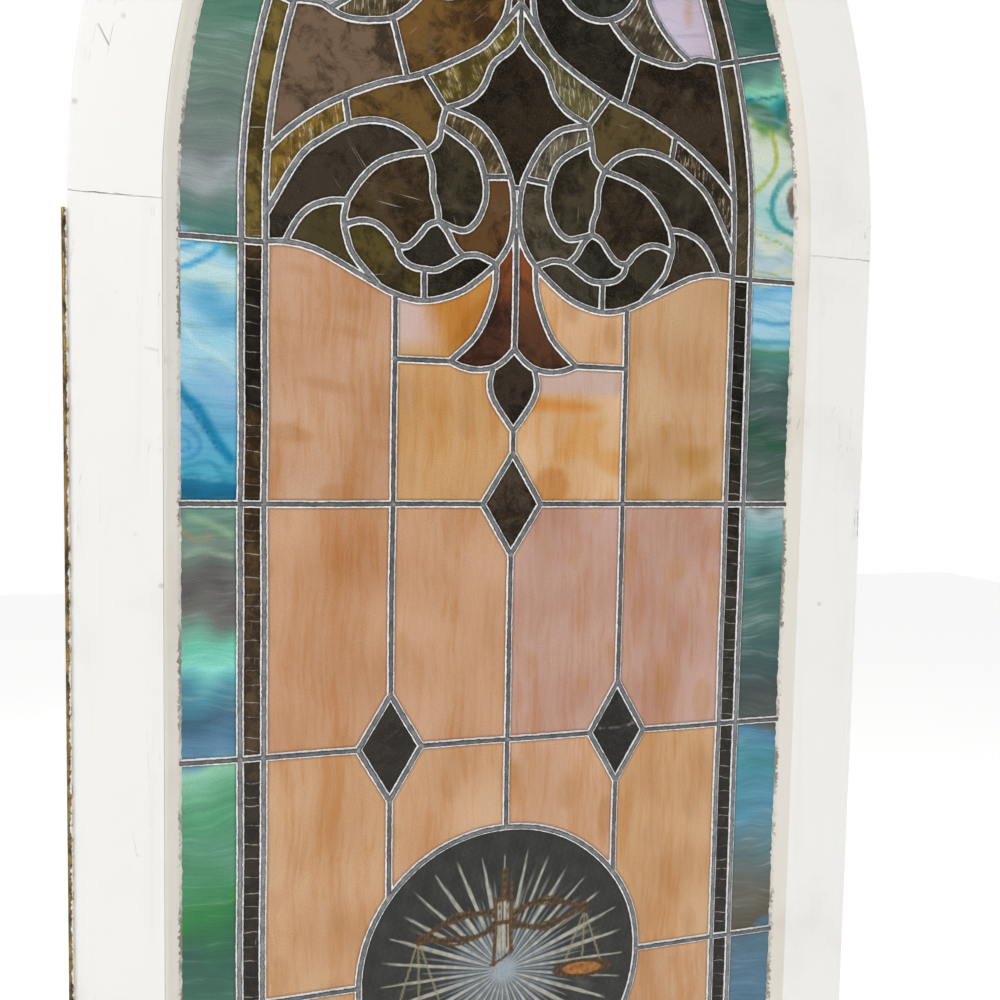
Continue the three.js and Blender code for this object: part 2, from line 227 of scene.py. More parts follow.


# %% [markdown]
# ## Lines of the leadwork
#
# The scrollwork is listed for the right half only, and mirrored.

# %%
SCROLLS = {
    "cresting": [
        [250, 251], [228, 252], [200, 246], [160, 226], [125, 209], [95, 204.5], [62, 213.5],
        [38, 230], [21, 246],
    ],
    "fleur_side": [[21, 246], [22, 222], [28, 200], [42, 171], [68, 145.5]],
    "fleur_foot": [[68, 145.5], [54, 140], [38, 138], [22, 141], [10, 149], [0, 160]],
    "teardrop": [[22, 141], [25.5, 124], [20, 106], [0, 77]],
    "neck": [
        [21, 246], [11, 260], [4.5, 277], [2.5, 300], [5, 325], [13, 347], [27, 371], [46, 387],
        [76, 395],
    ],
    "kite_side": [[0, 476], [10, 461], [28, 444], [38, 421], [52, 406], [76, 395]],
    "stem": [[76, 395], [80, 378], [83, 362], [95, 350]],
    "great_scroll": [
        [250, 334], [232, 354], [205, 377], [176, 395], [140, 412], [98, 426.5], [45, 456], [27, 474],
        [0, 508],
    ],
    "upper_lobe": [
        [95, 350], [108, 364], [128, 373.5], [150, 375], [172, 369], [195, 354], [218, 333],
        [250, 277],
    ],
    "lobe": [[95, 350], [120, 344.5], [142, 335], [160, 317], [173, 296]],
    "volute_back": [[173, 296], [176, 278], [173, 262], [166, 244], [143, 218]],
    "shoulder": [[173, 296], [190, 294.5], [208, 287], [221, 273], [232, 252]],
    "lobe_stem": [[95, 350], [89, 332], [88, 312], [83, 297], [82, 284]],
    "eye": [[82, 284], [58, 277], [45, 284], [36, 300], [33, 318], [37, 339], [48, 358], [79, 377]],
    "leaf_top": [
        [82, 284], [93, 279], [103, 266], [113, 257], [124, 257], [132, 267], [145, 276.5], [160, 278],
        [174, 273],
    ],
    "leaf_foot": [[123.5, 259], [120, 246], [110, 238], [96, 235.5], [80, 237], [56, 252]],
    "leaf_side": [[82, 284], [73, 275], [65, 261], [56, 252]],
    "bridge": [[56, 252], [40, 253.5], [21, 246]],
    "crescent": [
        [98, 505], [112, 489], [130, 475], [150, 470], [168, 468.5], [183, 471], [200, 479],
        [223, 479],
    ],
    "upper_loop": [
        [27, 474], [16, 494], [12, 520], [13, 550], [22, 583], [45, 611], [80, 622], [113, 611],
        [134, 585], [141, 555], [141, 530], [155, 507], [172, 489], [190, 476],
    ],
    "upper_kite_side": [[52, 614], [40, 640], [22, 668], [0, 735]],
    "upper_scroll": [[159, 640], [130, 662], [95, 678], [60, 696], [30, 716], [0, 735]],
}
TIES = [
    [[76, 395], [98, 426.5]],
    [[115, 421], [130, 475]],
    [[176, 395], [172, 369]],
    [[7, 335], [35, 332]],
    [[96, 235.5], [96, 205]],
    [[12.5, 530], [38, 541]],
    [[28, 593], [51, 581]],
    [[113, 611], [108, 587]],
    [[139, 567], [183, 592]],
    [[95, 619], [95, 678]],
    [[0, 560], [17, 574]],
    [[0, 775], [66, 775]],
    [[COLUMN, 145.5], [68, 145.5]],
    [[0, 281], [4.5, 281]],
    [[0, 324], [5, 324]],
]


def grid_lines():
    """The straight cames of the field, the band and the border, right half."""
    middle = ROUNDEL[1]
    edge = PANEL - EDGE_CAME / 2
    apex = SPRINGING + math.sqrt(arc_radius(edge) ** 2 - CENTRE**2)
    shoulder = math.sqrt(ROUNDEL_RADIUS**2 - COLUMN**2)
    lines = [
        [[0, 160], [0, 282]],
        [[0, 77], [0, TOP_DIAMOND_RISE]],
        [[0, -TOP_DIAMOND_RISE], [0, middle + ROUNDEL_RADIUS]],
        [[0, middle - ROUNDEL_RADIUS], [0, FOOT]],
        [[0, 474], [0, 562]],
        [[0, 733], [0, apex]],
        [[COLUMN, 208], [COLUMN, -ROW + DIAMOND_RISE]],
        [[COLUMN, -ROW - DIAMOND_RISE], [COLUMN, middle + shoulder]],
        [[COLUMN, middle - shoulder], [COLUMN, -3 * ROW + DIAMOND_RISE]],
        [[COLUMN, -3 * ROW - DIAMOND_RISE], [COLUMN, SIGHT_FOOT - 5]],
        [[FIELD, ROW], [edge, ROW]],
        [[DIAMOND_HALF, 0], [edge, 0]],
        [[ROUNDEL_RADIUS, middle], [edge, middle]],
        [[0, FOOT], [edge, FOOT]],
        [[0, BAND_FOOT], [BAND, BAND_FOOT]],
    ]
    for z in (-ROW, -3 * ROW):
        lines.append([[0, z], [COLUMN - DIAMOND_HALF, z]])
        lines.append([[COLUMN + DIAMOND_HALF, z], [edge, z]])
    for turn in np.radians([15, 31.5]):
        lines.append(np.vstack([arc_point(FIELD, [turn]), arc_point(edge, [turn])]))
    return [resample(line, STRAIGHT_STEP) for line in lines]


def mirrored(lines):
    """The lines with their mirror images, leaving out those that lie on the centre line."""
    return [*lines, *(line * [-1, 1] for line in lines if np.abs(line[:, 0]).max() > 0)]


curved = mirrored([flow(points, CURVE_STEP) for points in SCROLLS.values()])
arcs = mirrored([side(FIELD, BAND_FOOT, ARC_STEP), side(BAND, SIGHT_FOOT - 5, ARC_STEP)])
straight = mirrored([resample(tie, ARC_STEP) for tie in TIES] + grid_lines())
open_lines = [warp(line) for line in (*curved, *arcs, *straight)]

rings = [circle(*ROUNDEL, ROUNDEL_RADIUS, 120), diamond(0, 0, TOP_DIAMOND_RISE)]
rings += [circle(hand * EYE_X, EYE_Z, EYE_RADIUS, 72) for hand in (-1, 1)]
rings += [diamond(hand * COLUMN, z, DIAMOND_RISE) for hand in (-1, 1) for z in (-ROW, -3 * ROW)]
rings = [warp(ring) for ring in rings]
edge_line = pointed(PANEL - EDGE_CAME / 2, SIGHT_FOOT - 10 + EDGE_CAME / 2, ARC_STEP)
print(f"{len(open_lines)} open and {len(rings) + 1} closed lines of came")

# %% [markdown]
# ## Meshes
#
# A `Piece` gathers arrays and makes one Blender object, placed in the frame of the CAD model,
# riding on its body and taking the material that it is given.


# %%
class Piece:
    """Vertices in the window's millimetres, faces, and values at the vertices, gathered from
    several closed parts of one piece."""

    def __init__(self, name):
        self.name = name
        self.points, self.faces, self.values = [], [], {}
        self.count = 0

    def add(self, points, faces, **values):
        """Adds a closed part: points (n, 3), a list of arrays of faces, and arrays of n values.
        Faces that all look inwards, where the volume they enclose is negative, are turned."""
        self.points.append(points)
        faces = [np.asarray(group) for group in faces]
        turn = -1 if sum(volume_under(points, group) for group in faces) < 0 else 1
        for group in faces:
            self.faces += (group[:, ::turn] + self.count).tolist()
        for key, value in values.items():
            self.values.setdefault(key, []).append(value)
        self.count += len(points)
        return self

    def make(self, material, body="sash", stands_for=(), smooth=35):
        """The finished object: points become metres from the mount, and values attributes."""
        mesh = bpy.data.meshes.new(self.name)
        mesh.from_pydata((np.vstack(self.points) - MOUNT) / 1000, [], self.faces)
        kinds = {1: ("FLOAT", "value"), 3: ("FLOAT_VECTOR", "vector"), 4: ("FLOAT_COLOR", "color")}
        for key, arrays in self.values.items():
            data = np.concatenate(arrays).astype(np.float32)
            kind, field = kinds[1 if data.ndim == 1 else data.shape[1]]
            mesh.attributes.new(key, kind, "POINT").data.foreach_set(field, data.ravel())
        mesh.shade_smooth()
        mesh.set_sharp_from_angle(angle=math.radians(smooth))
        mesh.materials.append(material)
        made = bpy.data.objects.new(self.name, mesh)
        bpy.context.collection.objects.link(made)
        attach(made, body)
        if stands_for:
            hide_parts(*stands_for)
        return made


def volume_under(points, faces):
    """The signed volume of the cones from the first point to each face: six times a
    tetrahedron's volume is the triple product of its sides, and a face is a fan of triangles."""
    local = points[faces] - points[0]
    first = local[:, :1]
    return np.sum(first * np.cross(local[:, 1:-1], local[:, 2:])) / 6


def table_of(*columns):
    """Arrays spread to one shape, as a table with a column for each and a row for each point."""
    return np.stack(np.broadcast_arrays(*columns), -1).reshape(-1, len(columns))


def tube_faces(rows, count, closed=False):
    """Quads between rows of vertices that each run round a section. Either closed joins the
    last row to the first, or the two ends are capped."""
    row = np.arange(rows if closed else rows - 1)[:, None]
    column = np.arange(count)[None, :]
    nxt, far = (column + 1) % count, (row + 1) % rows
    walls = table_of(row * count + column, row * count + nxt, far * count + nxt, far * count + column)
    ends = [np.arange(count)[None, ::-1], np.arange((rows - 1) * count, rows * count)[None]]
    return [walls] if closed else [walls, *ends]


def mitre(line, closed):
    """For each point of a line, its sideways direction to the left, lengthened at corners so
    that a strip keeps its width, and the distance run."""
    before = np.roll(line, 1, 0) if closed else np.vstack([line[:1] * 2 - line[1:2], line[:-1]])
    after = np.roll(line, -1, 0) if closed else np.vstack([line[1:], line[-1:] * 2 - line[-2:-1]])
    into, out = line - before, after - line
    into /= np.linalg.norm(into, axis=1, keepdims=True)
    out /= np.linalg.norm(out, axis=1, keepdims=True)
    along = into + out
    along /= np.linalg.norm(along, axis=1, keepdims=True)
    stretch = np.clip((along * out).sum(1), 0.4, 1)[:, None]
    steps = np.linalg.norm(line - before, axis=1)
    steps[0] = 0
    return np.column_stack([-along[:, 1], along[:, 0]]) / stretch, np.cumsum(steps)


def sweep(line, profile, closed, piece, **extra):
    """Carries a closed profile of (sideways, depth) points along a line of the window's plane."""
    sideways, run = mitre(line, closed)
    profile = np.broadcast_to(profile, (len(line), *np.shape(profile)[-2:]))
    across, depth = profile[..., 0], profile[..., 1]
    flat = line[:, None, :] + sideways[:, None, :] * across[..., None]
    points = table_of(flat[..., 0], depth, flat[..., 1])
    faces = tube_faces(len(line), profile.shape[1], closed)
    grain = table_of(across, depth, run[:, None]) / 1000
    piece.add(points, faces, grain=grain, **{k: v.ravel() for k, v in extra.items()})


# %% [markdown]
# ## The panes' outlines
#
# All the lines of came cut the panel's outline into regions. Triangles of a constrained
# triangulation are joined wherever no line parts them, and each region's edge is walked once.


# %%
def lengthened(line, more=3.5):
    """An open line with its ends drawn out, so that it surely crosses the came it meets."""
    first, last = line[0] - line[1], line[-1] - line[-2]
    start = line[0] + first * more / np.linalg.norm(first)
    end = line[-1] + last * more / np.linalg.norm(last)
    return np.vstack([start, line, end])


def triangulate(points, edges, faces, kind):
    """Blender's constrained triangulation, as arrays: points, triangles and constrained edges."""
    made = delaunay_2d_cdt([Vector(p) for p in points], edges, faces, kind, 1e-4)
    held = np.array([len(origin) > 0 for origin in made[4]])
    return np.array(made[0]), np.array(made[2]), np.array(made[1])[held]


def loop_edges(count, start=0):
    ids = np.arange(count)
    return np.column_stack([ids, np.roll(ids, -1)]) + start


def area_of(loop):
    return 0.5 * np.sum(loop[:, 0] * np.roll(loop[:, 1], -1) - loop[:, 1] * np.roll(loop[:, 0], -1))


def contains(loop, points):
    """Whether each point lies inside the loop: a ray to the right then crosses it an odd
    number of times."""
    a, b = loop[None], np.roll(loop, -1, 0)[None]
    x, z = points[:, 0:1], points[:, 1:2]
    spans = (a[..., 1] > z) != (b[..., 1] > z)
    rise = np.where(b[..., 1] == a[..., 1], 1e-9, b[..., 1] - a[..., 1])
    meets = a[..., 0] + (z - a[..., 1]) * (b[..., 0] - a[..., 0]) / rise
    return (np.sum(spans & (x < meets), 1) % 2).astype(bool)


def distance_to(loop, points):
    """The distance from each point to the nearest side of a loop."""
    a = loop[None]
    run = (np.roll(loop, -1, 0) - loop)[None]
    share = ((points[:, None] - a) * run).sum(-1) / np.maximum((run**2).sum(-1), 1e-12)
    nearest = a + run * np.clip(share, 0, 1)[..., None]
    return np.linalg.norm(points[:, None] - nearest, axis=-1).min(1)


def network():
    """All centre lines as one list of points and edges."""
    points, edges, start = [], [], 0
    for line in map(lengthened, open_lines):
        ids = np.arange(len(line)) + start
        edges.append(np.column_stack([ids[:-1], ids[1:]]))
        points.append(line)
        start += len(line)
    for ring in (*rings, edge_line):
        edges.append(loop_edges(len(ring), start))
        points.append(ring)
        start += len(ring)
    return np.vstack(points), np.vstack(edges).tolist()


def find_regions():
    """The loops of all panes, anticlockwise along the middle of the cames, and the joints: the
    points where three or more cames meet, with the directions of the cames there."""
    points, triangles, held = triangulate(*network(), [], 0)
    size = len(points)
    starts = triangles.ravel()
    ends = np.roll(triangles, -1, 1).ravel()
    owner = np.repeat(np.arange(len(triangles)), 3)
    key = np.minimum(starts, ends) * size + np.maximum(starts, ends)
    order = np.argsort(key, kind="stable")
    twin = key[order][:-1] == key[order][1:]
    shared = key[order][:-1][twin]
    first, second = owner[order][:-1][twin], owner[order][1:][twin]
    held_keys = held.min(1) * size + held.max(1)
    free = ~np.isin(shared, held_keys)
    label = np.arange(len(triangles))
    while True:
        low = np.minimum(label[first[free]], label[second[free]])
        joined = label.copy()
        np.minimum.at(joined, first[free], low)
        np.minimum.at(joined, second[free], low)
        joined = joined[joined]
        if np.array_equal(joined, label):
            break
        label = joined
    loops = []
    for region in np.unique(label):
        inside = label[owner] == region
        a, b = starts[inside], ends[inside]
        outer = ~np.isin(a * size + b, b * size + a)
        follows = dict(zip(a[outer].tolist(), b[outer].tolist()))
        while follows:
            at = next(iter(follows))
            walk = []
            while at in follows:
                walk.append(at)
                at = follows.pop(at)
            loop = points[walk]
            centre_inside = contains(edge_line, loop.mean(0)[None])[0]
            if SMALLEST_PANE < area_of(loop) < LARGEST_PANE and centre_inside:
                loops.append(loop)
    wall = shared[label[first] != label[second]]
    legs = np.column_stack([wall // size, wall % size])
    legs = np.vstack([legs, legs[:, ::-1]])
    joints = []
    for at in np.flatnonzero(np.bincount(legs[:, 0], minlength=size) > 2):
        joints.append((points[at], points[legs[legs[:, 0] == at, 1]] - points[at]))
    return loops, joints


regions, joints = find_regions()
print(f"{len(regions)} panes, {len(joints)} soldered joints")

# %% [markdown]
# ## Materials
#
# Every surface is procedural. Glass takes its broad colours from values at the vertices and
# its fine streaks from noise. The cement that was brushed under the cames shows as a ragged
# whitish line along the edge of each pane.


# %%
def linear(rgb):
    """Colours given as 0 to 255 screen values, as linear light with an alpha of 1."""
    c = np.asarray(rgb, float) / 255
    light = np.where(c <= 0.04045, c / 12.92, ((c + 0.055) / 1.055) ** 2.4)
    return np.concatenate([light, np.ones(light.shape[:-1] + (1,))], -1)


def screen(*rgb):
    """One colour for a socket, given as three screen values."""
    return tuple(linear(rgb))


CEMENT = screen(250, 249, 247)


class Nodes:
    """A material's node tree, with one short call for each node."""

    def __init__(self, name, roughness=0.5, metallic=0.0, **shader):
        self.material = bpy.data.materials.new(name)
        self.material.use_nodes = True
        self.tree = self.material.node_tree
        self.shader = self.tree.nodes["Principled BSDF"]
        self.shader.inputs["Roughness"].default_value = roughness
        self.shader.inputs["Metallic"].default_value = metallic
        for key, value in shader.items():
            self.shader.inputs[key.replace("_", " ")].default_value = value
        self.place = self.node("ShaderNodeTexCoord").outputs["Object"]

    def node(self, kind, inputs=None, **settings):
        made = self.tree.nodes.new(kind)
        for key, value in settings.items():
            setattr(made, key, value)
        for key, value in (inputs or {}).items():
            if isinstance(value, bpy.types.NodeSocket):
                self.tree.links.new(value, made.inputs[key])
            else:
                made.inputs[key].default_value = value
        return made

    def value(self, name, output="Fac"):
        return self.node("ShaderNodeAttribute", attribute_name=name).outputs[output]

    def scaled(self, vector, scale):
        ins = {0: vector, 1: scale}
        return self.node("ShaderNodeVectorMath", ins, operation="MULTIPLY").outputs[0]

    def total(self, a, b):
        return self.node("ShaderNodeVectorMath", {0: a, 1: b}, operation="ADD").outputs[0]

    def turned(self, vector, most):
        """A vector turned about the depth axis by an angle that is the pane's own, in radians."""
        angle = self.times(self.parts(self.value("own", "Vector"))[0], most)
        ins = {"Vector": vector, "Angle": angle}
        return self.node("ShaderNodeVectorRotate", ins, rotation_type="Y_AXIS").outputs[0]

    def parts(self, vector):
        return self.node("ShaderNodeSeparateXYZ", {0: vector}).outputs

    def noise(self, vector, scale, detail=3.0, roughness=0.55, distortion=0.0):
        ins = {"Vector": vector, "Scale": scale, "Detail": detail, "Roughness": roughness}
        ins["Distortion"] = distortion
        return self.node("ShaderNodeTexNoise", ins).outputs["Fac"]

    def cells(self, feature, inputs, **settings):
        """The distance that a Voronoi pattern gives, to its points or to its cells' edges."""
        made = self.node("ShaderNodeTexVoronoi", inputs, feature=feature, **settings)
        return made.outputs["Distance"]

    def maths(self, operation, a, b=0.0):
        return self.node("ShaderNodeMath", {0: a, 1: b}, operation=operation).outputs[0]

    def plus(self, a, b):
        return self.maths("ADD", a, b)

    def times(self, a, b):
        return self.maths("MULTIPLY", a, b)

    def span(self, value, low, high, to_low=0.0, to_high=1.0):
        """A value brought by an S-curve from one range to another, and kept within it."""
        ins = {"Value": value, "From Min": low, "From Max": high, "To Min": to_low, "To Max": to_high}
        made = self.node("ShaderNodeMapRange", ins, interpolation_type="SMOOTHSTEP")
        return made.outputs["Result"]

    def ragged(self, scale, reach, detail=5, roughness=0.75):
        """Noise from -reach to reach, which makes an edge ragged when it's added to a distance."""
        return self.span(self.noise(self.place, scale, detail, roughness), 0.3, 0.7, -reach, reach)

    def mix(self, factor, a, b, blend="MIX"):
        ins = {0: factor, 6: a, 7: b}
        return self.node("ShaderNodeMix", ins, data_type="RGBA", blend_type=blend).outputs[2]

    def dimmed(self, colour, by, share=1.0):
        """A colour multiplied by another, wholly or by a share."""
        return self.mix(share, colour, (*by, 1), "MULTIPLY")

    def colour(self, socket):
        self.tree.links.new(socket, self.shader.inputs["Base Color"])
        return self

    def rough(self, socket):
        self.tree.links.new(socket, self.shader.inputs["Roughness"])
        return self

    def bump(self, height, distance, strength=1.0):
        ins = {"Height": height, "Distance": distance, "Strength": strength}
        made = self.node("ShaderNodeBump", ins)
        self.tree.links.new(made.outputs[0], self.shader.inputs["Normal"])
        return self


def with_cement(n, colour, roughness, height, wide=3.6):
    """Adds the line of cement at the edge of a pane, which ends at a distance from the middle
    of the came in millimetres, and the glass a little darker just beyond it."""
    edge = n.plus(n.value("rim"), n.ragged(200, 0.3))
    # The glass darker just beyond the cement, beside the raised came.
    edge_darkening = n.span(edge, wide + 0.1, wide + 3.2, 0.5, 0.0)
    colour = n.dimmed(colour, (0.16, 0.12, 0.09), edge_darkening)
    cement = n.span(edge, wide - 0.2, wide + 0.2, 1.0, 0.0)
    n.colour(n.mix(cement, colour, CEMENT))
    n.rough(n.maths("MAXIMUM", n.times(cement, 0.85), roughness))
    n.bump(n.plus(height, n.times(cement, 0.6)), 0.0006, 0.9)
    return n.material


def glass(name, roughness, sheen):
    """A glass's nodes, its vertices' colour, and its place moved by the pane's own offset, so
    that no two panes have the same marks."""
    n = Nodes(name, roughness=roughness, Specular_IOR_Level=sheen)
    return n, n.value("tint", "Color"), n.total(n.place, n.value("own", "Vector"))


def streaky_glass(name, broad, fine, lighten, light, deepen, deep, roughness, wave):
    """Opalescent glass: the vertices' colour, with broad patches and fine wisps that bend
    round slow noise, by wave. broad and fine stretch the space of the two, and light and deep
    are how strong their lighter and deeper colours get."""
    n, tint, own = glass(name, roughness, 0.4)
    slow = {"Vector": n.place, "Scale": 9.0, "Detail": 2.0}
    bent = n.node("ShaderNodeTexNoise", slow).outputs["Color"]
    own = n.total(own, n.scaled(bent, (wave, wave, wave)))
    patches = n.noise(n.scaled(own, broad), 1.0, 5, 0.62, 0.2)
    wisps = n.noise(n.scaled(own, fine), 1.0, 4, 0.65)
    both = n.plus(n.times(patches, 0.62), n.times(wisps, 0.38))
    colour = n.mix(n.span(both, 0.34, 0.55, deep, 0.0), tint, n.dimmed(tint, deepen))
    colour = n.mix(n.span(both, 0.52, 0.68, 0.0, light), colour, lighten)
    speck = n.noise(n.place, 900, 2, 0.6)
    colour = n.dimmed(colour, (0.6, 0.56, 0.52), n.span(speck, 0.3, 0.7, 0.5, 0.0))
    skin = n.noise(n.place, 55, 3, 0.5)
    return with_cement(n, colour, roughness, n.times(skin, 0.7))


def dark_glass(name, clouds, scratches, smudge, ripples, roughness):
    """Nearly black glass: blotches of brown and black, soft pale smudges, and long straight
    scratches whose direction differs from pane to pane."""
    n, tint, own = glass(name, roughness, 0.28)
    mottle = n.noise(own, clouds, 7, 0.74, 0.5)
    drift = n.noise(own, 11, 3, 0.55, 0.4)
    mottle = n.plus(n.times(mottle, 0.55), n.times(drift, 0.45))
    colour = n.mix(n.span(mottle, 0.42, 0.56), n.dimmed(tint, (0.26, 0.25, 0.23)), tint)
    haze = n.noise(own, 20, 4, 0.65, 0.8)
    colour = n.mix(n.span(haze, 0.55, 0.75, 0.0, smudge), colour, screen(116, 104, 88))
    speck = n.noise(own, 800, 3, 0.7)
    colour = n.mix(n.span(speck, 0.5, 0.8, 0.0, 0.4), colour, screen(128, 110, 84))
    hair = n.noise(n.scaled(n.turned(own, 1.5), (620, 1, 8)), 1.0, 3, 0.6)
    where = n.noise(own, 19, 3, 0.6)
    pale = n.times(n.span(hair, 0.665, 0.73), n.span(where, 0.47, 0.6, 0.0, scratches))
    colour = n.mix(pale, colour, screen(206, 200, 184))
    swell = n.noise(n.scaled(own, (1.0, 1.0, 1.6)), 30, 2, 0.5, 0.8)
    return with_cement(n, colour, roughness, n.times(swell, ripples))


def band_glass():
    """The narrow strips: dark glass crossed at uneven distances by pale lines, painted highlights
    on the crests of its rolled ripples, which are the edges of cells along its length, and by
    short pale dashes, also painted highlights."""
    n, tint, own = glass("band_glass", 0.22, 0.28)
    x, _, z = n.parts(own)
    level = n.plus(z, n.times(n.noise(own, 34, 3), 0.009))
    level = n.plus(level, n.times(x, 0.12))
    line = {"W": level, "Scale": 64.0, "Randomness": 0.95}
    cell = n.cells("DISTANCE_TO_EDGE", line, voronoi_dimensions="1D")
    mottle = n.noise(own, 50, 5, 0.7, 0.4)
    colour = n.mix(n.span(mottle, 0.4, 0.62), n.dimmed(tint, (0.32, 0.32, 0.32)), tint)
    # Pale lines on the ripple crests and short pale dashes: painted highlights.
    crest_highlight = n.times(n.span(cell, 0.012, 0.034, 1.0, 0.0), n.span(mottle, 0.4, 0.62, 0.1, 0.8))
    dash_highlight = n.noise(n.scaled(own, (420, 420, 60)), 1.0, 3, 0.7)
    crest_highlight = n.maths("MAXIMUM", crest_highlight, n.span(dash_highlight, 0.68, 0.76, 0.0, 0.55))
    colour = n.mix(crest_highlight, colour, screen(196, 192, 182))
    return with_cement(n, colour, 0.22, n.times(mottle, 0.8))


def reeded_glass():
    """Dark glass with fine broken ridges that catch the light as short pale lines, in patches;
    the ridges of each pane run their own way."""
    n, tint, own = glass("reeded_glass", 0.22, 0.3)
    ridges = n.noise(n.scaled(n.turned(own, 0.5), (430, 1, 60)), 1.0, 3, 0.6, 0.5)
    patches = n.noise(own, 60, 5, 0.65)
    colour = n.mix(n.span(patches, 0.38, 0.62), n.dimmed(tint, (0.35, 0.35, 0.35)), tint)
    ridge = n.times(n.span(ridges, 0.52, 0.66), n.span(patches, 0.4, 0.56, 0.1, 1.0))
    colour = n.mix(ridge, colour, n.mix(0.6, tint, screen(224, 216, 190)))
    return with_cement(n, colour, 0.22, ridges)


def painted_glass():
    """The roundel: fired paint, its picture in the colours of the vertices, slightly matt."""
    n, tint, _ = glass("painted_glass", 0.42, 0.3)
    speck = n.noise(n.place, 420, 4, 0.75)
    colour = n.mix(n.span(speck, 0.3, 0.55, 0.3, 0.0), tint, (0.02, 0.02, 0.019, 1))
    return with_cement(n, colour, 0.42, n.times(speck, 0.4))


def lead_metal():
    """Lead came: grey with a soft sheen and pale flecks of painted highlight, darker by painted
    shade along the straight runs and on the slopes of each face, and a crisp whitish line at
    each edge, where cement was brushed over it and has stayed."""
    n = Nodes("lead", roughness=0.48, metallic=0.4)
    patch = n.noise(n.place, 75, 5, 0.65)
    fine = n.noise(n.place, 800, 3, 0.65)
    colour = n.mix(n.span(patch, 0.32, 0.68), screen(100, 102, 104), screen(146, 147, 149))
    # Pale flecks where the fine noise is high: painted highlights.
    colour = n.mix(n.span(fine, 0.5, 0.72, 0.0, 0.6), colour, screen(196, 196, 196))
    edge = n.plus(n.value("edge"), n.ragged(190, 0.13))
    blotchy = n.span(n.noise(n.place, 60, 3, 0.6), 0.35, 0.6, 0.35, 0.9)
    # The face darker towards its edges, in blotches: painted shade on the slopes of the rounded came.
    colour = n.mix(n.times(n.span(edge, 0.25, 0.6), blotchy), colour, screen(66, 67, 70))
    # Straight runs, and rings by less, darker: painted shade, standing for the highlights that the rounder
    # scroll cames catch.
    dull = n.value("dull")
    colour = n.dimmed(colour, (0.5, 0.5, 0.51), dull)
    cement = n.span(n.maths("SUBTRACT", edge, n.times(dull, 0.1)), 0.7, 0.79)
    n.colour(n.mix(cement, colour, CEMENT))
    n.rough(n.span(cement, 0, 1, 0.46, 0.85))
    n.bump(n.plus(patch, n.times(fine, 0.25)), 0.0004, 0.5)
    return n.material


def solder_metal():
    n = Nodes("solder", roughness=0.46, metallic=0.45)
    patch = n.noise(n.place, 240, 4, 0.6)
    n.colour(n.mix(n.span(patch, 0.3, 0.7), screen(96, 97, 99), screen(164, 164, 165)))
    n.bump(patch, 0.0004, 0.6)
    return n.material


def white_paint(name, base, shade, most_cracked=0.75, toe=0.0):
    """Oil paint brushed along the wood: bristle marks along the grain, faint warm patches that are
    partly stains and partly a painted reflection, a few hair cracks along the grain, and small
    dents. With a toe, which is how far across from the middle of the window, in metres, the bead's
    paint ends, that end is in dark crumbs; without one there's a crack where stile and head meet."""
    n = Nodes(name, roughness=0.4, Specular_IOR_Level=0.35)
    grain = n.value("grain", "Vector")
    bristle = n.noise(n.scaled(grain, (900, 900, 14)), 1.0, 4, 0.6)
    board = n.noise(n.scaled(grain, (40, 40, 3)), 1.0, 4, 0.6, 0.5)
    # Faint warm patches: partly stains, partly a painted reflection of warm light.
    stain_and_reflection = n.noise(n.place, 7, 4, 0.6)
    colour = n.mix(n.span(stain_and_reflection, 0.5, 0.8, 0.0, 0.4), base, shade)
    colour = n.mix(n.span(board, 0.55, 0.8, 0.0, 0.25), colour, shade)
    long_cells = {"Vector": n.scaled(grain, (75, 75, 8)), "Scale": 1.0}
    cell = n.cells("DISTANCE_TO_EDGE", long_cells)
    patchy = n.noise(n.place, 5, 3, 0.6)
    broken = n.span(n.noise(n.place, 60, 3, 0.6), 0.46, 0.56)
    cracked = n.times(broken, n.span(patchy, 0.54, 0.62, 0.0, most_cracked))
    hair = n.times(n.span(cell, 0.0, 0.016, 1.0, 0.0), cracked)
    if toe:
        across = n.plus(n.parts(grain)[0], n.ragged(210, 0.0016, 4, 0.7))
        blotchy = n.span(n.noise(n.place, 9, 4, 0.7), 0.46, 0.56, 0.1, 0.8)
        dark = n.times(n.span(across, toe - 0.0003, toe, 1.0, 0.0), blotchy)
    else:
        height = n.plus(n.parts(n.place)[2], n.ragged(70, 0.0012, 5, 0.7))
        away = n.maths("ABSOLUTE", n.maths("SUBTRACT", height, JOINT))
        blotchy = n.span(n.noise(n.place, 45, 3, 0.6), 0.4, 0.6, 0.15, 0.7)
        dark = n.times(n.span(away, 0.0001, 0.00034, 1.0, 0.0), blotchy)
    hair = n.maths("MAXIMUM", hair, dark)
    colour = n.mix(hair, colour, screen(104, 92, 80))
    pit = n.span(n.cells("F1", {"Vector": n.place, "Scale": 16.0}), 0.02, 0.06, 1.0, 0.0)
    n.colour(n.mix(n.times(pit, 0.35), colour, screen(150, 140, 128)))
    height = n.maths("SUBTRACT", n.times(bristle, 0.3), n.plus(hair, pit))
    n.bump(n.plus(height, n.times(board, 0.5)), 0.0005, 0.7)
    return n.material


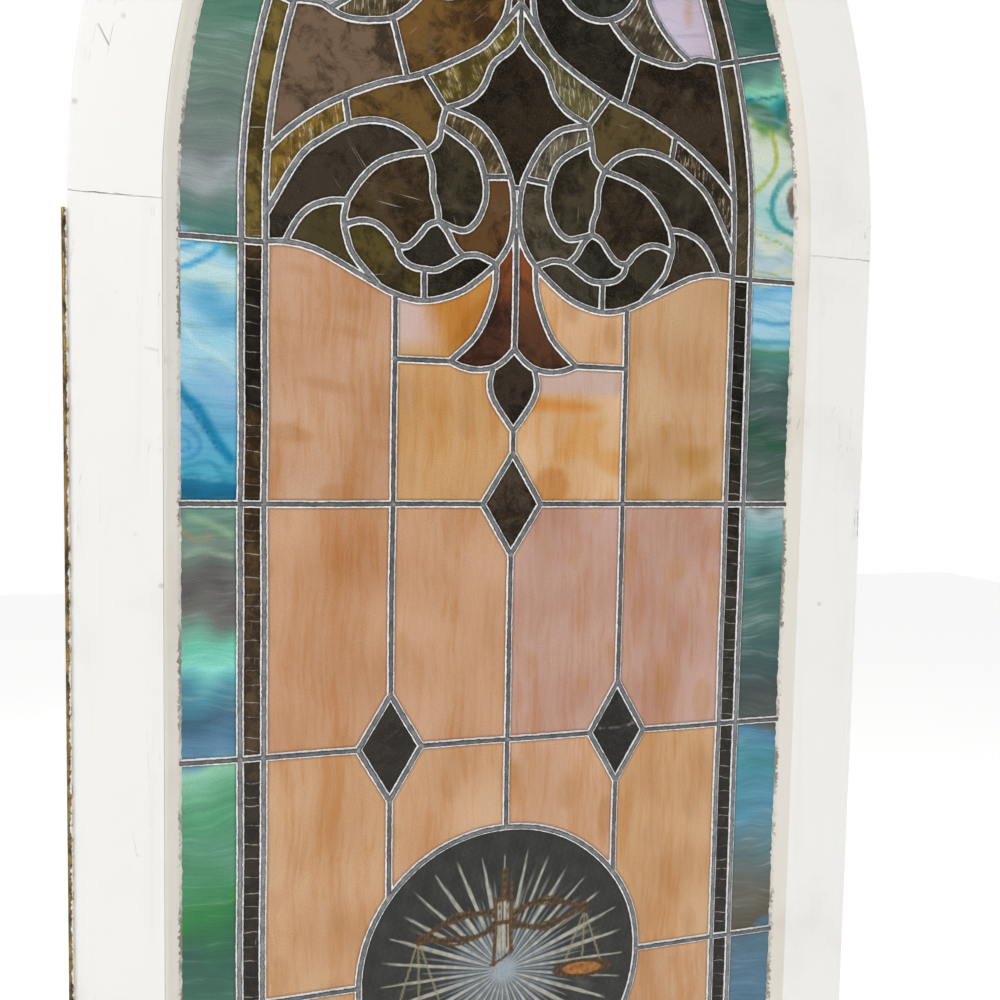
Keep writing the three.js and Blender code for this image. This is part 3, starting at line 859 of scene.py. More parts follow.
def brass_metal():
    """Worn brass, gold to brown, with white on the side of the barrel that faces the wood: partly
    the sash's paint run over it and partly a painted highlight."""
    n = Nodes("brass", roughness=0.36, metallic=0.8)
    patch = n.noise(n.scaled(n.place, (1.0, 1.0, 0.35)), 120, 5, 0.7)
    colour = n.mix(n.span(patch, 0.35, 0.65), screen(78, 62, 36), screen(190, 158, 98))
    x, y, z = n.parts(n.place)
    colour = n.mix(n.span(z, -0.1, 0.55, 0.55, 0.0), colour, screen(66, 54, 34))
    # White on the barrel's side towards the wood: partly paint, partly a painted highlight.
    side_on = n.span(n.plus(x, n.ragged(130, 0.0011, 4, 0.7)), 0.0034, 0.0038)
    near = n.span(y, BARREL_FACE + 0.002, BARREL_FACE + 0.0021, 1.0, 0.0)
    paint = n.times(side_on, near)
    n.colour(n.mix(paint, colour, screen(240, 238, 232)))
    n.tree.links.new(n.span(paint, 0, 1, 0.8, 0.0), n.shader.inputs["Metallic"])
    n.rough(n.span(patch, 0.3, 0.7, 0.5, 0.3))
    n.bump(patch, 0.0003, 0.4)
    return n.material


JOINT = (SPRINGING - MOUNT[2]) / 1000
BARREL_FACE = (PIN_Y + BARREL_RADIUS - MOUNT[1]) / 1000
PALE_AMBER = screen(226, 188, 158)
MILK = screen(196, 216, 216)
GLASSES = {
    "amber": streaky_glass(
        "amber_glass", broad=(26, 26, 6), fine=(240, 240, 10), lighten=PALE_AMBER, light=0.3,
        deepen=(0.9, 0.7, 0.42), deep=0.95, roughness=0.3, wave=0.022,
    ),
    "border": streaky_glass(
        "border_glass", broad=(9, 9, 55), fine=(16, 16, 330), lighten=MILK, light=0.24,
        deepen=(0.4, 0.52, 0.52), deep=0.5, roughness=0.26, wave=0.06,
    ),
    "fleur": dark_glass("red_brown_glass", 26, scratches=0.12, smudge=0.05, ripples=0.5, roughness=0.3),
    "black": dark_glass("black_glass", 60, scratches=0.12, smudge=0.05, ripples=1.0, roughness=0.18),
    "dark": dark_glass("rippled_glass", 46, scratches=0.75, smudge=0.22, ripples=0.9, roughness=0.2),
    "band": band_glass(),
    "reeded": reeded_glass(),
    "painted": painted_glass(),
}
LEAD, SOLDER, BRASS = lead_metal(), solder_metal(), brass_metal()
TOE = 0.3288
PAINT = white_paint("white_paint", screen(249, 248, 245), screen(232, 228, 220))
# The bead's beige, darker than the wood's white, is painted shade of the sloping bevel.
PUTTY = white_paint("painted_putty_with_painted_shade", screen(238, 232, 222), screen(205, 193, 176), 0.5, TOE)

# %% [markdown]
# ## Colours of the panes
#
# Each pane has a seed, a point inside it. Border panes take their colours from stops up the
# window, the left and the right side apart; the others have a colour for the left and one for
# the right.

# %%
BORDER = {
    -1: [
        (-1084, 60, 110, 100), (-800, 55, 125, 112), (-700, 85, 150, 132), (-500, 52, 104, 86),
        (-450, 42, 94, 78), (-400, 34, 124, 62), (-350, 80, 142, 112), (-300, 72, 150, 108),
        (-255, 136, 194, 166), (-245, 84, 132, 164), (-210, 54, 98, 122), (-180, 62, 132, 152),
        (-160, 134, 216, 202), (-135, 112, 200, 172), (-110, 104, 106, 102), (-80, 92, 88, 88),
        (-40, 112, 132, 122), (-5, 102, 142, 128), (6, 10, 104, 142), (20, 22, 112, 150),
        (28, 82, 168, 196), (45, 92, 170, 202), (80, 98, 166, 202), (115, 136, 188, 214),
        (140, 158, 204, 220), (160, 150, 202, 222), (180, 112, 176, 208), (200, 132, 190, 214),
        (208, 182, 214, 216), (228, 184, 216, 222), (245, 150, 204, 230), (256, 72, 122, 116),
        (285, 112, 136, 130), (305, 152, 160, 164), (330, 122, 132, 130), (400, 102, 126, 114),
        (475, 86, 130, 112), (560, 80, 116, 106), (850, 92, 132, 122), (1000, 70, 110, 102),
    ],
    1: [
        (-1084, 60, 92, 92), (-750, 62, 110, 122), (-560, 76, 116, 142), (-505, 72, 106, 126),
        (-495, 88, 78, 62), (-450, 96, 96, 86), (-400, 86, 116, 122), (-350, 80, 142, 170),
        (-300, 62, 140, 152), (-260, 72, 130, 162), (-245, 76, 86, 82), (-220, 62, 72, 72),
        (-170, 56, 92, 92), (-130, 76, 112, 106), (-80, 62, 106, 102), (-35, 106, 162, 162),
        (-10, 166, 186, 192), (8, 92, 102, 96), (50, 72, 96, 90), (75, 46, 86, 66), (100, 76, 96, 96),
        (140, 62, 92, 88), (170, 92, 150, 142), (190, 152, 202, 222), (215, 162, 206, 230),
        (245, 122, 186, 226), (256, 204, 214, 200), (266, 188, 204, 198), (275, 170, 196, 208),
        (290, 206, 216, 206), (300, 196, 208, 192), (308, 176, 208, 208), (322, 158, 200, 200),
        (335, 176, 210, 208), (350, 190, 212, 206), (385, 208, 218, 202), (400, 202, 212, 202),
        (410, 186, 204, 168), (417, 116, 150, 106), (425, 84, 128, 104), (435, 58, 130, 120),
        (446, 46, 150, 152), (456, 108, 190, 166), (470, 130, 196, 166), (482, 92, 132, 126),
        (500, 72, 112, 106), (540, 38, 86, 76), (700, 56, 96, 86), (1000, 62, 102, 92),
    ],
}
FIELD_PANES = {
    "quarry_1_outer": (188, 115, (209, 165, 132), (213, 172, 130)),
    "quarry_1_inner": (62, 60, (215, 167, 113), (228, 186, 142)),
    "fleur_shoulder": (95, 175, (222, 184, 166), (230, 188, 149)),
    "quarry_2_outer": (188, -125, (207, 157, 118), (203, 161, 145)),
    "quarry_2_inner": (62, -125, (211, 163, 126), (203, 161, 145)),
    "quarry_3_outer": (188, -430, (213, 167, 124), (213, 167, 120)),
    "quarry_3_inner": (40, -320, (215, 169, 128), (215, 171, 137)),
    "quarry_4_outer": (188, -570, (211, 167, 124), (211, 167, 128)),
    "quarry_4_inner": (40, -680, (211, 167, 130), (209, 165, 132)),
    "quarry_5_outer": (188, -885, (213, 167, 124), (211, 167, 130)),
    "quarry_5_inner": (62, -875, (215, 169, 124), (213, 167, 126)),
    "fleur": (25, 155, (84, 48, 34), (88, 54, 34)),
    "diamond_upper": (COLUMN, -ROW, (46, 38, 27), (38, 39, 37)),
    "diamond_lower": (COLUMN, -3 * ROW, (46, 39, 29), (44, 39, 30)),
}
CENTRAL_PANES = {
    "kite": (0, 420, "black", (45, 36, 23)),
    "teardrop": (0, 120, "black", (54, 44, 35)),
    "diamond_top": (0, 0, "black", (70, 58, 46)),
    "upper_kite": (0, 650, "black", (58, 48, 34)),
    "roundel": (*ROUNDEL, "painted", (50, 52, 54)),
}
SCROLL_PANES = [
    (190, 430, "dark", (118, 96, 76), (59, 47, 34)),
    (75, 470, "dark", (118, 85, 41), (43, 39, 30)),
    (60, 428, "reeded", (124, 106, 42), (104, 98, 62)),
    (130, 395, "dark", (111, 85, 41), (88, 74, 43)),
    (213, 353, "reeded", (139, 107, 31), (70, 57, 39)),
    (195, 320, "dark", (59, 51, 41), (52, 46, 35)),
    (130, 310, "dark", (75, 59, 37), (61, 50, 35)),
    (200, 270, "dark", (70, 61, 33), (63, 52, 39)),
    (145, 245, "dark", (86, 74, 33), (56, 50, 37)),
    (90, 258, "dark", (45, 41, 33), (54, 52, 45)),
    (70, 225, "dark", (50, 44, 33), (66, 61, 50)),
    (28, 290, "dark", (98, 68, 37), (88, 81, 64)),
    (22, 345, "reeded", (104, 85, 52), (109, 101, 82)),
    (60, 320, "dark", (61, 55, 39), (68, 61, 45)),
    (140, 497, "reeded", (95, 79, 52), (100, 88, 70)),
    (83, 549, "dark", (59, 52, 33), (50, 55, 45)),
    (24, 562, "reeded", (88, 74, 49), (82, 72, 54)),
    (80, 608, "dark", (79, 63, 37), (70, 59, 41)),
    (180, 530, "border", (212, 198, 218), (216, 202, 222)),
    (150, 620, "dark", (75, 61, 37), (63, 52, 37)),
    (65, 650, "dark", (93, 72, 39), (79, 66, 43)),
    (6, 535, "dark", (82, 66, 33), (75, 63, 43)),
    (60, 735, "dark", (86, 63, 39), (68, 55, 39)),
    (15, 800, "dark", (66, 55, 35), (61, 50, 37)),
]


HANDS = ((-1, "left"), (1, "right"))


def pane_table():
    """(name, seed, style, colour) of every pane that has a name of its own."""
    table = [(name, (x, z), style, rgb) for name, (x, z, style, rgb) in CENTRAL_PANES.items()]
    middle = (BAND + SIGHT) / 2
    seeds = [(middle, FOOT + (i + 0.5) * ROW) for i in range(5)]
    seeds += [tuple(arc_point(middle, [math.radians(turn)])[0]) for turn in (7, 23, 40)]
    for hand, word in HANDS:
        for stem, (x, z, *pair) in FIELD_PANES.items():
            style = {"fleur": "fleur", "diamond_upper": "black", "diamond_lower": "black"}.get(stem, "amber")
            table.append((f"{stem}_{word}", (hand * x, z), style, pair[hand > 0]))
        for i, (x, z, style, *pair) in enumerate(SCROLL_PANES):
            table.append((f"scroll_{i + 1:02d}_{word}", (hand * x, z), style, pair[hand > 0]))
        for i, (x, z) in enumerate(seeds):
            table.append((f"border_{i + 1}_{word}", (hand * x, z), "border", None))
    return table


# %% [markdown]
# ### The picture on the roundel
#
# A balance before a burst of rays, in fired enamel on charcoal. Everything is a distance to a
# simple shape: rays are tapering strokes from the centre, the balance is a post, two almond
# rings for its beam, cords and two pans.


# %%
def smooth(value, low, high):
    """0 below low, 1 above high, and an even S-curve between them."""
    t = np.clip((value - low) / (high - low), 0, 1)
    return t * t * (3 - 2 * t)


def lay(base, colour, share):
    """Colours with another laid over them, by a share at each point."""
    return base + (np.asarray(colour, float) - base) * share[:, None]


def oval(x, z, centre, half_width, half_height, turn):
    """The measure of a turned ellipse, 1 on its outline."""
    c, s = math.cos(math.radians(turn)), math.sin(math.radians(turn))
    dx, dz = x - centre[0], z - centre[1]
    return np.hypot((dx * c + dz * s) / half_width, (dz * c - dx * s) / half_height)


def ribbon(x, z, points, half, soft=0.4):
    """How much of each point is covered by a smooth line through given points: 1 within its
    half width, falling to 0 over a soft edge."""
    line = flow(points, 5)
    away = np.full(x.shape, 1e3)
    for a, b in zip(line, line[1:]):
        run = b - a
        share = np.clip(((x - a[0]) * run[0] + (z - a[1]) * run[1]) / (run @ run), 0, 1)
        away = np.minimum(away, np.hypot(x - a[0] - share * run[0], z - a[1] - share * run[1]))
    return 1 - smooth(away, half - soft, half + soft)


RAYS = [  # count, start, reach, half width, strength, colour
    (64, 0.25, 62, 0.8, 0.55, (124, 142, 160)),
    (32, 0.5, 90, 1.2, 0.7, (150, 162, 168)),
    (32, 0.0, 138, 1.9, 0.92, (196, 193, 180)),
]
ROPES = [  # the two strokes of the beam's left loop, then of its right one
    [(-11, 61), (-30, 63), (-52, 61), (-74, 52), (-93, 40)],
    [(-11, 46), (-30, 38), (-52, 36), (-74, 40), (-93, 42)],
    [(11, 57), (28, 66), (50, 68), (74, 62), (94, 52)],
    [(11, 47), (30, 41), (50, 40), (72, 47), (94, 58)],
]
POST = [  # strokes of the post: points, half width
    ([(-9.5, 76), (-9, 45), (-10.5, 4)], 2.1),
    ([(8.5, 92), (8, 45), (9, 16)], 2.1),
    ([(1, 106), (0, 84), (-1, 76)], 3.4),
    ([(-14, 4), (-2, 9), (11, 18)], 1.5),
    ([(-9, 72), (0, 78), (8, 72)], 1.6),
    ([(-11, 50), (11, 50)], 2.6),
    ([(-1.5, 74), (-1, 52)], 0.9),
    ([(3.5, 46), (4, 22)], 0.8),
]
RAY_MIDDLE = -3.0


def paint_roundel(x, z):
    """The colour of the picture at points measured from the roundel's centre."""
    r, turn = np.hypot(x, z - RAY_MIDDLE), np.arctan2(z - RAY_MIDDLE, x)
    rgb = np.array([46, 47, 44.0]) + 4 * (ripple(x, z, 22, 31) + ripple(x, z, 5, 32))[:, None]
    streaks = smooth(ripple(turn * 110, r * 0.12, 9, 37, 12), 0.2, 1.3)
    streaks *= smooth(r, 30, 60) * (1 - smooth(r, 92, 124))
    rgb = lay(rgb, (138, 140, 132), streaks * 0.8 * (0.35 + 0.65 * smooth(z, -20, 50)))
    rgb = lay(rgb, (84, 100, 118), 0.6 * (1 - smooth(r, 24, 84)))
    own = np.random.default_rng(12)
    for count, start, reach, half, strength, colour in RAYS:
        pitch = 2 * math.pi / count
        index = np.floor(turn / pitch - start + 0.5).astype(int)
        lengths = reach * own.uniform(0.94, 1.04, count)[index % count]
        widths = half * own.uniform(0.75, 1.25, count)[index % count]
        lean = own.uniform(-0.03, 0.03, count)[index % count]
        off = r * np.abs(np.sin(turn - (index + start + lean) * pitch))
        taper = widths * np.clip((1 - r / lengths) * 3.2, 0, 1) ** 0.7 * (0.4 + 0.6 * smooth(r, 8, 60))
        ray = (1 - smooth(off, taper - 0.5, taper + 0.5)) * smooth(lengths - r, 0, 5) * strength
        rgb = lay(rgb, colour, ray * (0.9 + 0.1 * ripple(turn * 90, r, 16, 33)))
    rgb = lay(rgb, (150, 166, 182), 0.8 * np.exp(-((r / 16) ** 2)))
    inside = smooth(10 - np.abs(x + 0.5), 0, 2) * smooth(z, 14, 20) * (1 - smooth(z, 70, 76))
    rgb = lay(rgb, (196, 188, 164), inside * (0.6 + 0.25 * ripple(x * 3, z, 9, 38)))
    brown = np.array([88, 62, 30.0]) + ripple(x, z, 5, 34)[:, None] * 18
    for left, right, rise in ((-1, 42, -33), (1, 52, -14)):
        hook = (left * 93, right)
        for reach in (-24, 0, 24):
            cord = ribbon(x, z, [hook, (left * 91 + reach, rise)], 0.95)
            rgb = lay(rgb, (158, 146, 112), 0.85 * cord)
        rim = oval(x, z, (left * 91, rise), 28, 8.5, -3)
        fill = (164, 104, 46) if left > 0 else (138, 112, 74)
        fill = np.array(fill, float) + ripple(x, z, 7, 36)[:, None] * 18
        rgb = lay(rgb, fill, 1 - smooth(rim, 0.84, 0.9))
        rgb = lay(rgb, brown * 0.85, 1 - smooth(np.abs(rim - 1.02), 0.16, 0.27))
        rgb = lay(rgb, brown * 0.8, 1 - smooth(np.hypot(x - hook[0], z - hook[1]), 3.0, 4.6))
    twist = np.array([[0, 1.6], [0, -1.2], [0, 1.4], [0, -1.2], [0, 0.6]])
    for line in ROPES:
        for shift, half in ((0, 1.9), (2.6, 1.35), (-2.6, 1.35)):
            strand = ribbon(x, z, line + twist * np.sign(shift) + [0, shift], half)
            rgb = lay(rgb, brown * (1.0 if shift else 0.72), strand * 0.92)
    for line, half in POST:
        rgb = lay(rgb, brown, ribbon(x, z, line, half) * 0.94)
    return rgb


# %% [markdown]
# ## Panes
#
# A pane is cut one millimetre inside the middle of its cames. Rows of points at set distances
# from its edge carry the width of the cement, and a jittered grid fills the rest.


# %%
def finer(loop, step):
    """The loop with its long sides divided into even steps."""
    parts = []
    for a, b in zip(loop, np.roll(loop, -1, 0)):
        count = max(1, math.ceil(np.hypot(*(b - a)) / step))
        parts.append(a + (b - a) * np.linspace(0, 1, count, endpoint=False)[:, None])
    return np.vstack(parts)


def inset(loop, distance):
    """The loop moved inwards by a distance, without the points that come nearer to it."""
    sideways, _ = mitre(loop, True)
    moved = loop + sideways * distance
    return moved[distance_to(loop, moved) > distance * 0.97]


EDGE_ROWS = (3.2, 4.4, 5.8, 8.0)
FILLED_FROM = 8.2


def jittered(loop, spacing):
    """A jittered grid of points inside a loop, clear of its edge."""
    low, high = loop.min(0), loop.max(0)
    x, z = np.meshgrid(*(np.arange(low[k], high[k], spacing) for k in (0, 1)))
    points = table_of(x, z) + rng.uniform(-0.25, 0.25, (x.size, 2)) * spacing
    points = points[contains(loop, points)]
    return points[distance_to(loop, points) > FILLED_FROM]


SWIRLS = {  # hand: points of each vein as (x, z), half width, softness, colour, strength
    -1: [
        ([(330, 220), (314, 224), (300, 233), (288, 248)], 2.6, 1.8, (64, 160, 206), 0.9),
        ([(330, 240), (316, 243), (306, 249)], 2.0, 1.8, (58, 154, 202), 0.8),
        ([(330, 224), (318, 231), (308, 240)], 1.2, 1.4, (196, 222, 232), 0.7),
        ([(300, 190), (288, 178), (272, 176)], 9, 9, (92, 164, 202), 0.8),
        ([(330, 190), (320, 176)], 7, 8, (172, 208, 226), 0.8),
        ([(330, 176), (312, 152), (292, 141), (272, 122)], 2.4, 2.6, (184, 214, 222), 0.75),
        ([(306, 128), (288, 112), (272, 92)], 6, 8, (134, 176, 212), 0.8),
        ([(336, 122), (324, 104), (310, 90), (298, 68), (282, 44)], 4.2, 3.4, (10, 122, 166), 0.92),
        ([(334, 118), (328, 104)], 4, 3, (8, 118, 164), 0.85),
        ([(324, 100), (310, 80), (292, 50)], 0.8, 1.0, (0, 84, 128), 0.75),
        ([(330, 78), (314, 68), (308, 54), (316, 44), (330, 42)], 2.0, 1.8, (66, 138, 186), 0.8),
        ([(330, 66), (320, 60), (318, 52), (330, 50)], 1.2, 1.4, (52, 128, 180), 0.7),
        ([(330, 34), (300, 40), (290, 30), (272, 28)], 2.0, 2.0, (46, 140, 172), 0.7),
        ([(326, 26), (300, 24), (290, 22)], 1.2, 1.4, (120, 186, 206), 0.5),
        ([(326, -26), (312, -34), (300, -32)], 3.0, 4.0, (152, 136, 104), 0.7),
        ([(318, -12), (300, -18), (280, -30)], 3.4, 4.0, (150, 184, 150), 0.7),
        ([(322, -48), (304, -44), (282, -50)], 2.6, 3.0, (168, 188, 162), 0.6),
    ],
    1: [
        ([(334, 242), (300, 241), (272, 242)], 1.8, 2.0, (84, 164, 204), 0.7),
        ([(334, 229), (300, 230), (272, 229)], 1.4, 1.6, (92, 168, 200), 0.6),
        ([(334, 205), (300, 204), (272, 206)], 2.4, 2.4, (58, 144, 182), 0.8),
        ([(334, 195), (300, 194), (272, 195)], 1.2, 1.6, (170, 206, 208), 0.6),
        ([(334, 184), (300, 183), (272, 184)], 2.4, 2.6, (56, 142, 160), 0.8),
        ([(334, 172), (300, 170), (272, 171)], 2.6, 3.0, (74, 132, 92), 0.7),
        ([(262, 436), (276, 438), (290, 430)], 5, 5, (72, 108, 80), 0.8),
        ([(318, 446), (306, 438), (300, 424)], 6, 4, (34, 116, 116), 0.85),
        ([(258, 446), (280, 447), (300, 453)], 1.2, 1.2, (0, 104, 120), 0.85),
        ([(268, 452), (290, 456), (308, 462)], 1.6, 1.6, (150, 210, 180), 0.7),
        ([(268, 418), (284, 415), (294, 409)], 2.6, 2.0, (112, 168, 84), 0.85),
        (
            [(290, 411), (298, 401), (300, 386), (296, 370), (284, 354), (268, 343)],
            2.7, 1.1, (166, 184, 84), 0.9,
        ),
        ([(299, 396), (300.5, 386), (298, 374)], 1.6, 1.2, (178, 186, 70), 0.8),
        (
            [(330, 376), (312, 364), (302, 350), (297, 336), (299, 322), (308, 311), (334, 302)],
            3.9, 1.6, (66, 152, 156), 0.92,
        ),
        ([(330, 380), (316, 370), (306, 358)], 3.0, 2.5, (118, 168, 168), 0.7),
        (
            [(328, 370), (314, 360), (304.5, 348), (300.5, 336), (302, 324), (310, 314), (332, 306)],
            0.6, 0.8, (168, 214, 212), 0.8,
        ),
        ([(290, 328), (296, 322), (306, 309)], 2.0, 2.5, (44, 156, 152), 0.7),
        ([(324, 350), (321, 340), (325, 328)], 6.6, 1.4, (116, 100, 90), 0.93),
        ([(274, 303), (288, 299), (300, 295), (316, 289), (332, 282)], 1.1, 1.0, (142, 190, 92), 0.85),
        ([(276, 272), (300, 274), (326, 270)], 2.0, 3.0, (168, 194, 206), 0.6),
        ([(276, 256), (300, 258), (322, 264), (332, 272)], 1.0, 1.2, (170, 186, 150), 0.7),
    ],
}


def polar(loop):
    """Points on rings round the middle of the rays, so that each ray lies along a row of them:
    fewer to a ring towards the middle."""
    rings = []
    for radius in np.arange(1.5, ROUNDEL_RADIUS, 1.6):
        count = 576 if radius > 52 else 288 if radius > 22 else 96 if radius > 7 else 24
        rings.append(circle(ROUNDEL[0], ROUNDEL[1] + RAY_MIDDLE, radius, count))
    points = np.vstack(rings)
    return points[contains(loop, points) & (distance_to(loop, points) > FILLED_FROM)]


BORDER_GAIN = 1.1


def border_tint(x, z, hand):
    """Colours of the border from its stops, the bands bent by noise as in swirled glass, and
    its veins laid over them."""
    stops = np.array(BORDER[hand], float)
    bent = z + 7 * ripple(x, z, 60, 41) + 0.25 * (np.abs(x) - 300) * ripple(z, z, 150, 42)
    tint = np.column_stack([np.interp(bent, stops[:, 0], stops[:, i]) for i in (1, 2, 3)])
    shake = 0.8 * ripple(x, z, 40, 43)
    for line, half, soft, rgb, strength in SWIRLS[hand]:
        tint = lay(tint, rgb, strength * ribbon(np.abs(x) + shake, z + shake, line, half, soft))
    return np.clip(tint * BORDER_GAIN, 5, 250)


def field_tint(name, x, z, rgb):
    """An even colour with slow drifts, and the few panes that change colour across themselves."""
    tint = np.tile(np.array(rgb, float), (len(x), 1))
    if name.startswith("band_"):
        tint = lay(tint, (36, 33, 27), 0.85 * smooth(z, 84, 100) * (1 - smooth(z, 200, 250)))
        tint = lay(tint, (40, 34, 28), 0.8 * (1 - smooth(z, -300, -240)))
    if max(rgb) > 150:
        tint = tint + ripple(x, z, 110, 51)[:, None] * np.array([5, 7, 9.0])
    slow = ripple(x * 0.6, z, 46, 52)
    if name == "fleur_shoulder_left":
        tint = lay(tint, (222, 198, 196), 0.8 * (1 - smooth(x - 0.5 * (z - 175), -112, -88)))
        warm = smooth(x + 0.35 * (z - 160) + 5 * slow, -92, -58)
        tint = lay(tint, (206, 142, 62), warm * 0.95)
        tint = lay(tint, (186, 122, 44), smooth(slow + 0.03 * (x + 60), 0.5, 1.3) * warm * 0.8)
        tint = lay(tint, (206, 160, 92), (1 - smooth(z, 148, 172)) * 0.7)
    elif name == "quarry_1_inner_right":
        tint = lay(tint, (214, 186, 180), smooth(z, 112, 122) * 0.9)
        amber = smooth(z, 92, 104) * (1 - smooth(z + 0.1 * x, 110, 120)) * (1 - smooth(x, 84, 104))
        tint = lay(tint, (222, 152, 74), amber)
        tint = lay(tint, (226, 168, 98), smooth(slow, 0.0, 0.9) * (1 - smooth(z, 84, 96)) * 0.8)
        tint = lay(tint, (206, 146, 82), (1 - smooth(np.hypot(x - 44, z - 20), 14, 24)) * 0.9)
    elif name == "quarry_1_outer_right":
        tint = lay(tint, (196, 148, 84), smooth(slow, -0.2, 0.9) * (1 - smooth(z, 76, 92)) * 0.85)
        tint = lay(tint, (218, 180, 140), smooth(z, 84, 92) * (1 - smooth(z, 108, 134)) * 0.6)
    elif name == "quarry_1_outer_left":
        tint = lay(tint, (198, 146, 102), smooth(ripple(x, z * 1.6, 60, 54), 0.3, 1.2) * 0.7)
    elif name.startswith("fleur_") and max(rgb) < 150:
        tint = lay(tint, (150, 82, 40), smooth(z, 176, 244) * 0.8)
    elif name == "diamond_upper_right":
        crack = [(94, -249), (110, -245), (128, -246), (154, -240)]
        tint = lay(tint, (214, 210, 198), 0.9 * ribbon(x, z, crack, 0.5, 0.7))
    elif name == "diamond_upper_left":
        crack = [(-130, -242), (-118, -232), (-109, -225)]
        tint = lay(tint, (140, 128, 104), 0.7 * ribbon(x, z, crack, 0.4, 0.7))
    elif max(rgb) > 150:
        tint = lay(tint, (198, 148, 100), smooth(ripple(x, z * 0.5, 46, 55), 0.5, 1.5) * 0.5)
    return np.clip(tint, 5, 250)


# By whether a strip is in the head: the colours of the left side and the right.
BAND_COLOURS = {True: ((122, 104, 48), (84, 73, 52)), False: ((84, 62, 34), (54, 47, 37))}
SPACING = {"border": 2.8, "amber": 4.5, "black": 2.1}


def pane_tint(name, style, rgb, hand, x, z):
    """The colours of a pane at its points."""
    if style == "painted":
        return paint_roundel(x - ROUNDEL[0], z - ROUNDEL[1])
    if rgb is None:
        return border_tint(x, z, hand)
    return field_tint(name, x, z, rgb)


def pane(name, loop, style, rgb, hand):
    """One pane of glass with a slightly wavy front and back, its walls, and at each vertex its
    distance from the middle of the came, its colour, and an offset that is its own."""
    loop = finer(loop, 6)
    edge = inset(loop, 1.0)
    rows = [inset(loop, distance) for distance in EDGE_ROWS]
    filling = polar(loop) if style == "painted" else jittered(loop, SPACING.get(style, 9.0))
    points = np.vstack([edge, *rows, filling])
    flat, triangles, _ = triangulate(points, [], [list(range(len(edge)))], 1)
    x, z = flat[:, 0], flat[:, 1]
    wave = 0.12 * ripple(x, z, 45, len(name) + int(abs(loop[0, 0])))
    front = np.column_stack([x, GLASS_FRONT + wave, z])
    back = np.column_stack([x, GLASS_BACK + wave[::-1] * 0.5, z])
    starts, ends = triangles.ravel(), np.roll(triangles, -1, 1).ravel()
    outer = ~np.isin(starts * len(flat) + ends, ends * len(flat) + starts)
    a, b = starts[outer], ends[outer]
    walls = np.column_stack([a, a + len(flat), b + len(flat), b])
    rim = np.minimum(distance_to(loop, flat), 14.0)
    tint = linear(pane_tint(name, style, rgb, hand, x, z))
    piece = Piece(f"pane_{name}")
    own = np.tile(rng.uniform(-1, 1, 3), (2 * len(flat), 1))
    piece.add(
        np.vstack([front, back]),
        [triangles, triangles[:, ::-1] + len(flat), walls],
        rim=np.tile(rim, 2),
        tint=np.tile(tint, (2, 1)),
        own=own,
    )
    nodes = [name] if name in frame["nodes"] else []
    piece.make(GLASSES[style], stands_for=nodes, smooth=50)


def make_panes():
    """A pane in every region: by the table where the region holds a pane's seed, and otherwise
    a numbered strip of the band or of the foot."""
    table = pane_table()
    seeds = np.array([seed for _, seed, *_ in table])
    made = []
    spare = 0
    for loop in regions:
        inside = np.flatnonzero(contains(loop, seeds))
        middle = loop.mean(0)
        hand = -1 if middle[0] < 0 else 1
        if len(inside):
            name, _, style, rgb = table[inside[0]]
        else:
            spare += 1
            foot, head = middle[1] < BAND_FOOT - 5, middle[1] > ROW
            name = f"{'foot' if foot else 'band'}_{spare:02d}"
            style = "border" if foot else "dark" if head else "band"
            rgb = None if foot else BAND_COLOURS[head][hand > 0]
        pane(name, loop, style, rgb, hand)
        made.append(name)
    missing = [name for name, *_ in table if name not in made]
    print(f"{len(made)} panes made; without a region: {missing}")


make_panes()

# %% [markdown]
# ## Leadwork
#
# A came is an H in section: two flanges joined by a heart between the panes. Its faces are
# slightly rounded. Solder lies over each joint as a low blob drawn out along the cames.


# %%
def came_profile(face):
    """The H section of a came of a given width: sideways and depth, anticlockwise."""
    half, heart = face / 2, 0.6
    rise = [(1.0, 1.35), (1.0, 0.8), (0.85, 0.36), (0.6, 0.14), (0.3, 0.05)]
    front = [(-share * half, y) for share, y in rise] + [(0, 0.03)]
    front += [(share * half, y) for share, y in reversed(rise)]
    right = [(heart, 1.4), (heart, CAME_DEPTH - 1.4)]
    back = [(x, CAME_DEPTH - y) for x, y in reversed(front)]
    left = [(-heart, CAME_DEPTH - 1.4), (-heart, 1.4)]
    return np.array([*front, *right, *back, *left])


def add_came(piece, line, closed, face, dull=0.0):
    """A came along a line, a little uneven in width, with each vertex's share of the way from
    the middle of the face to its edge."""
    profile = came_profile(face)
    width = 1 + 0.02 * ripple(line[:, 0], line[:, 1], 30, 61)[:, None]
    shaped = np.repeat(profile[None], len(line), 0)
    shaped[..., 0] *= width
    edge = np.broadcast_to(np.abs(profile[:, 0]) / (face / 2), shaped.shape[:2])
    sweep(line, shaped, closed, piece, edge=edge, dull=np.full(edge.shape, dull))


BLOB_SPOKES = 28
BLOB_RADIUS = 3.1


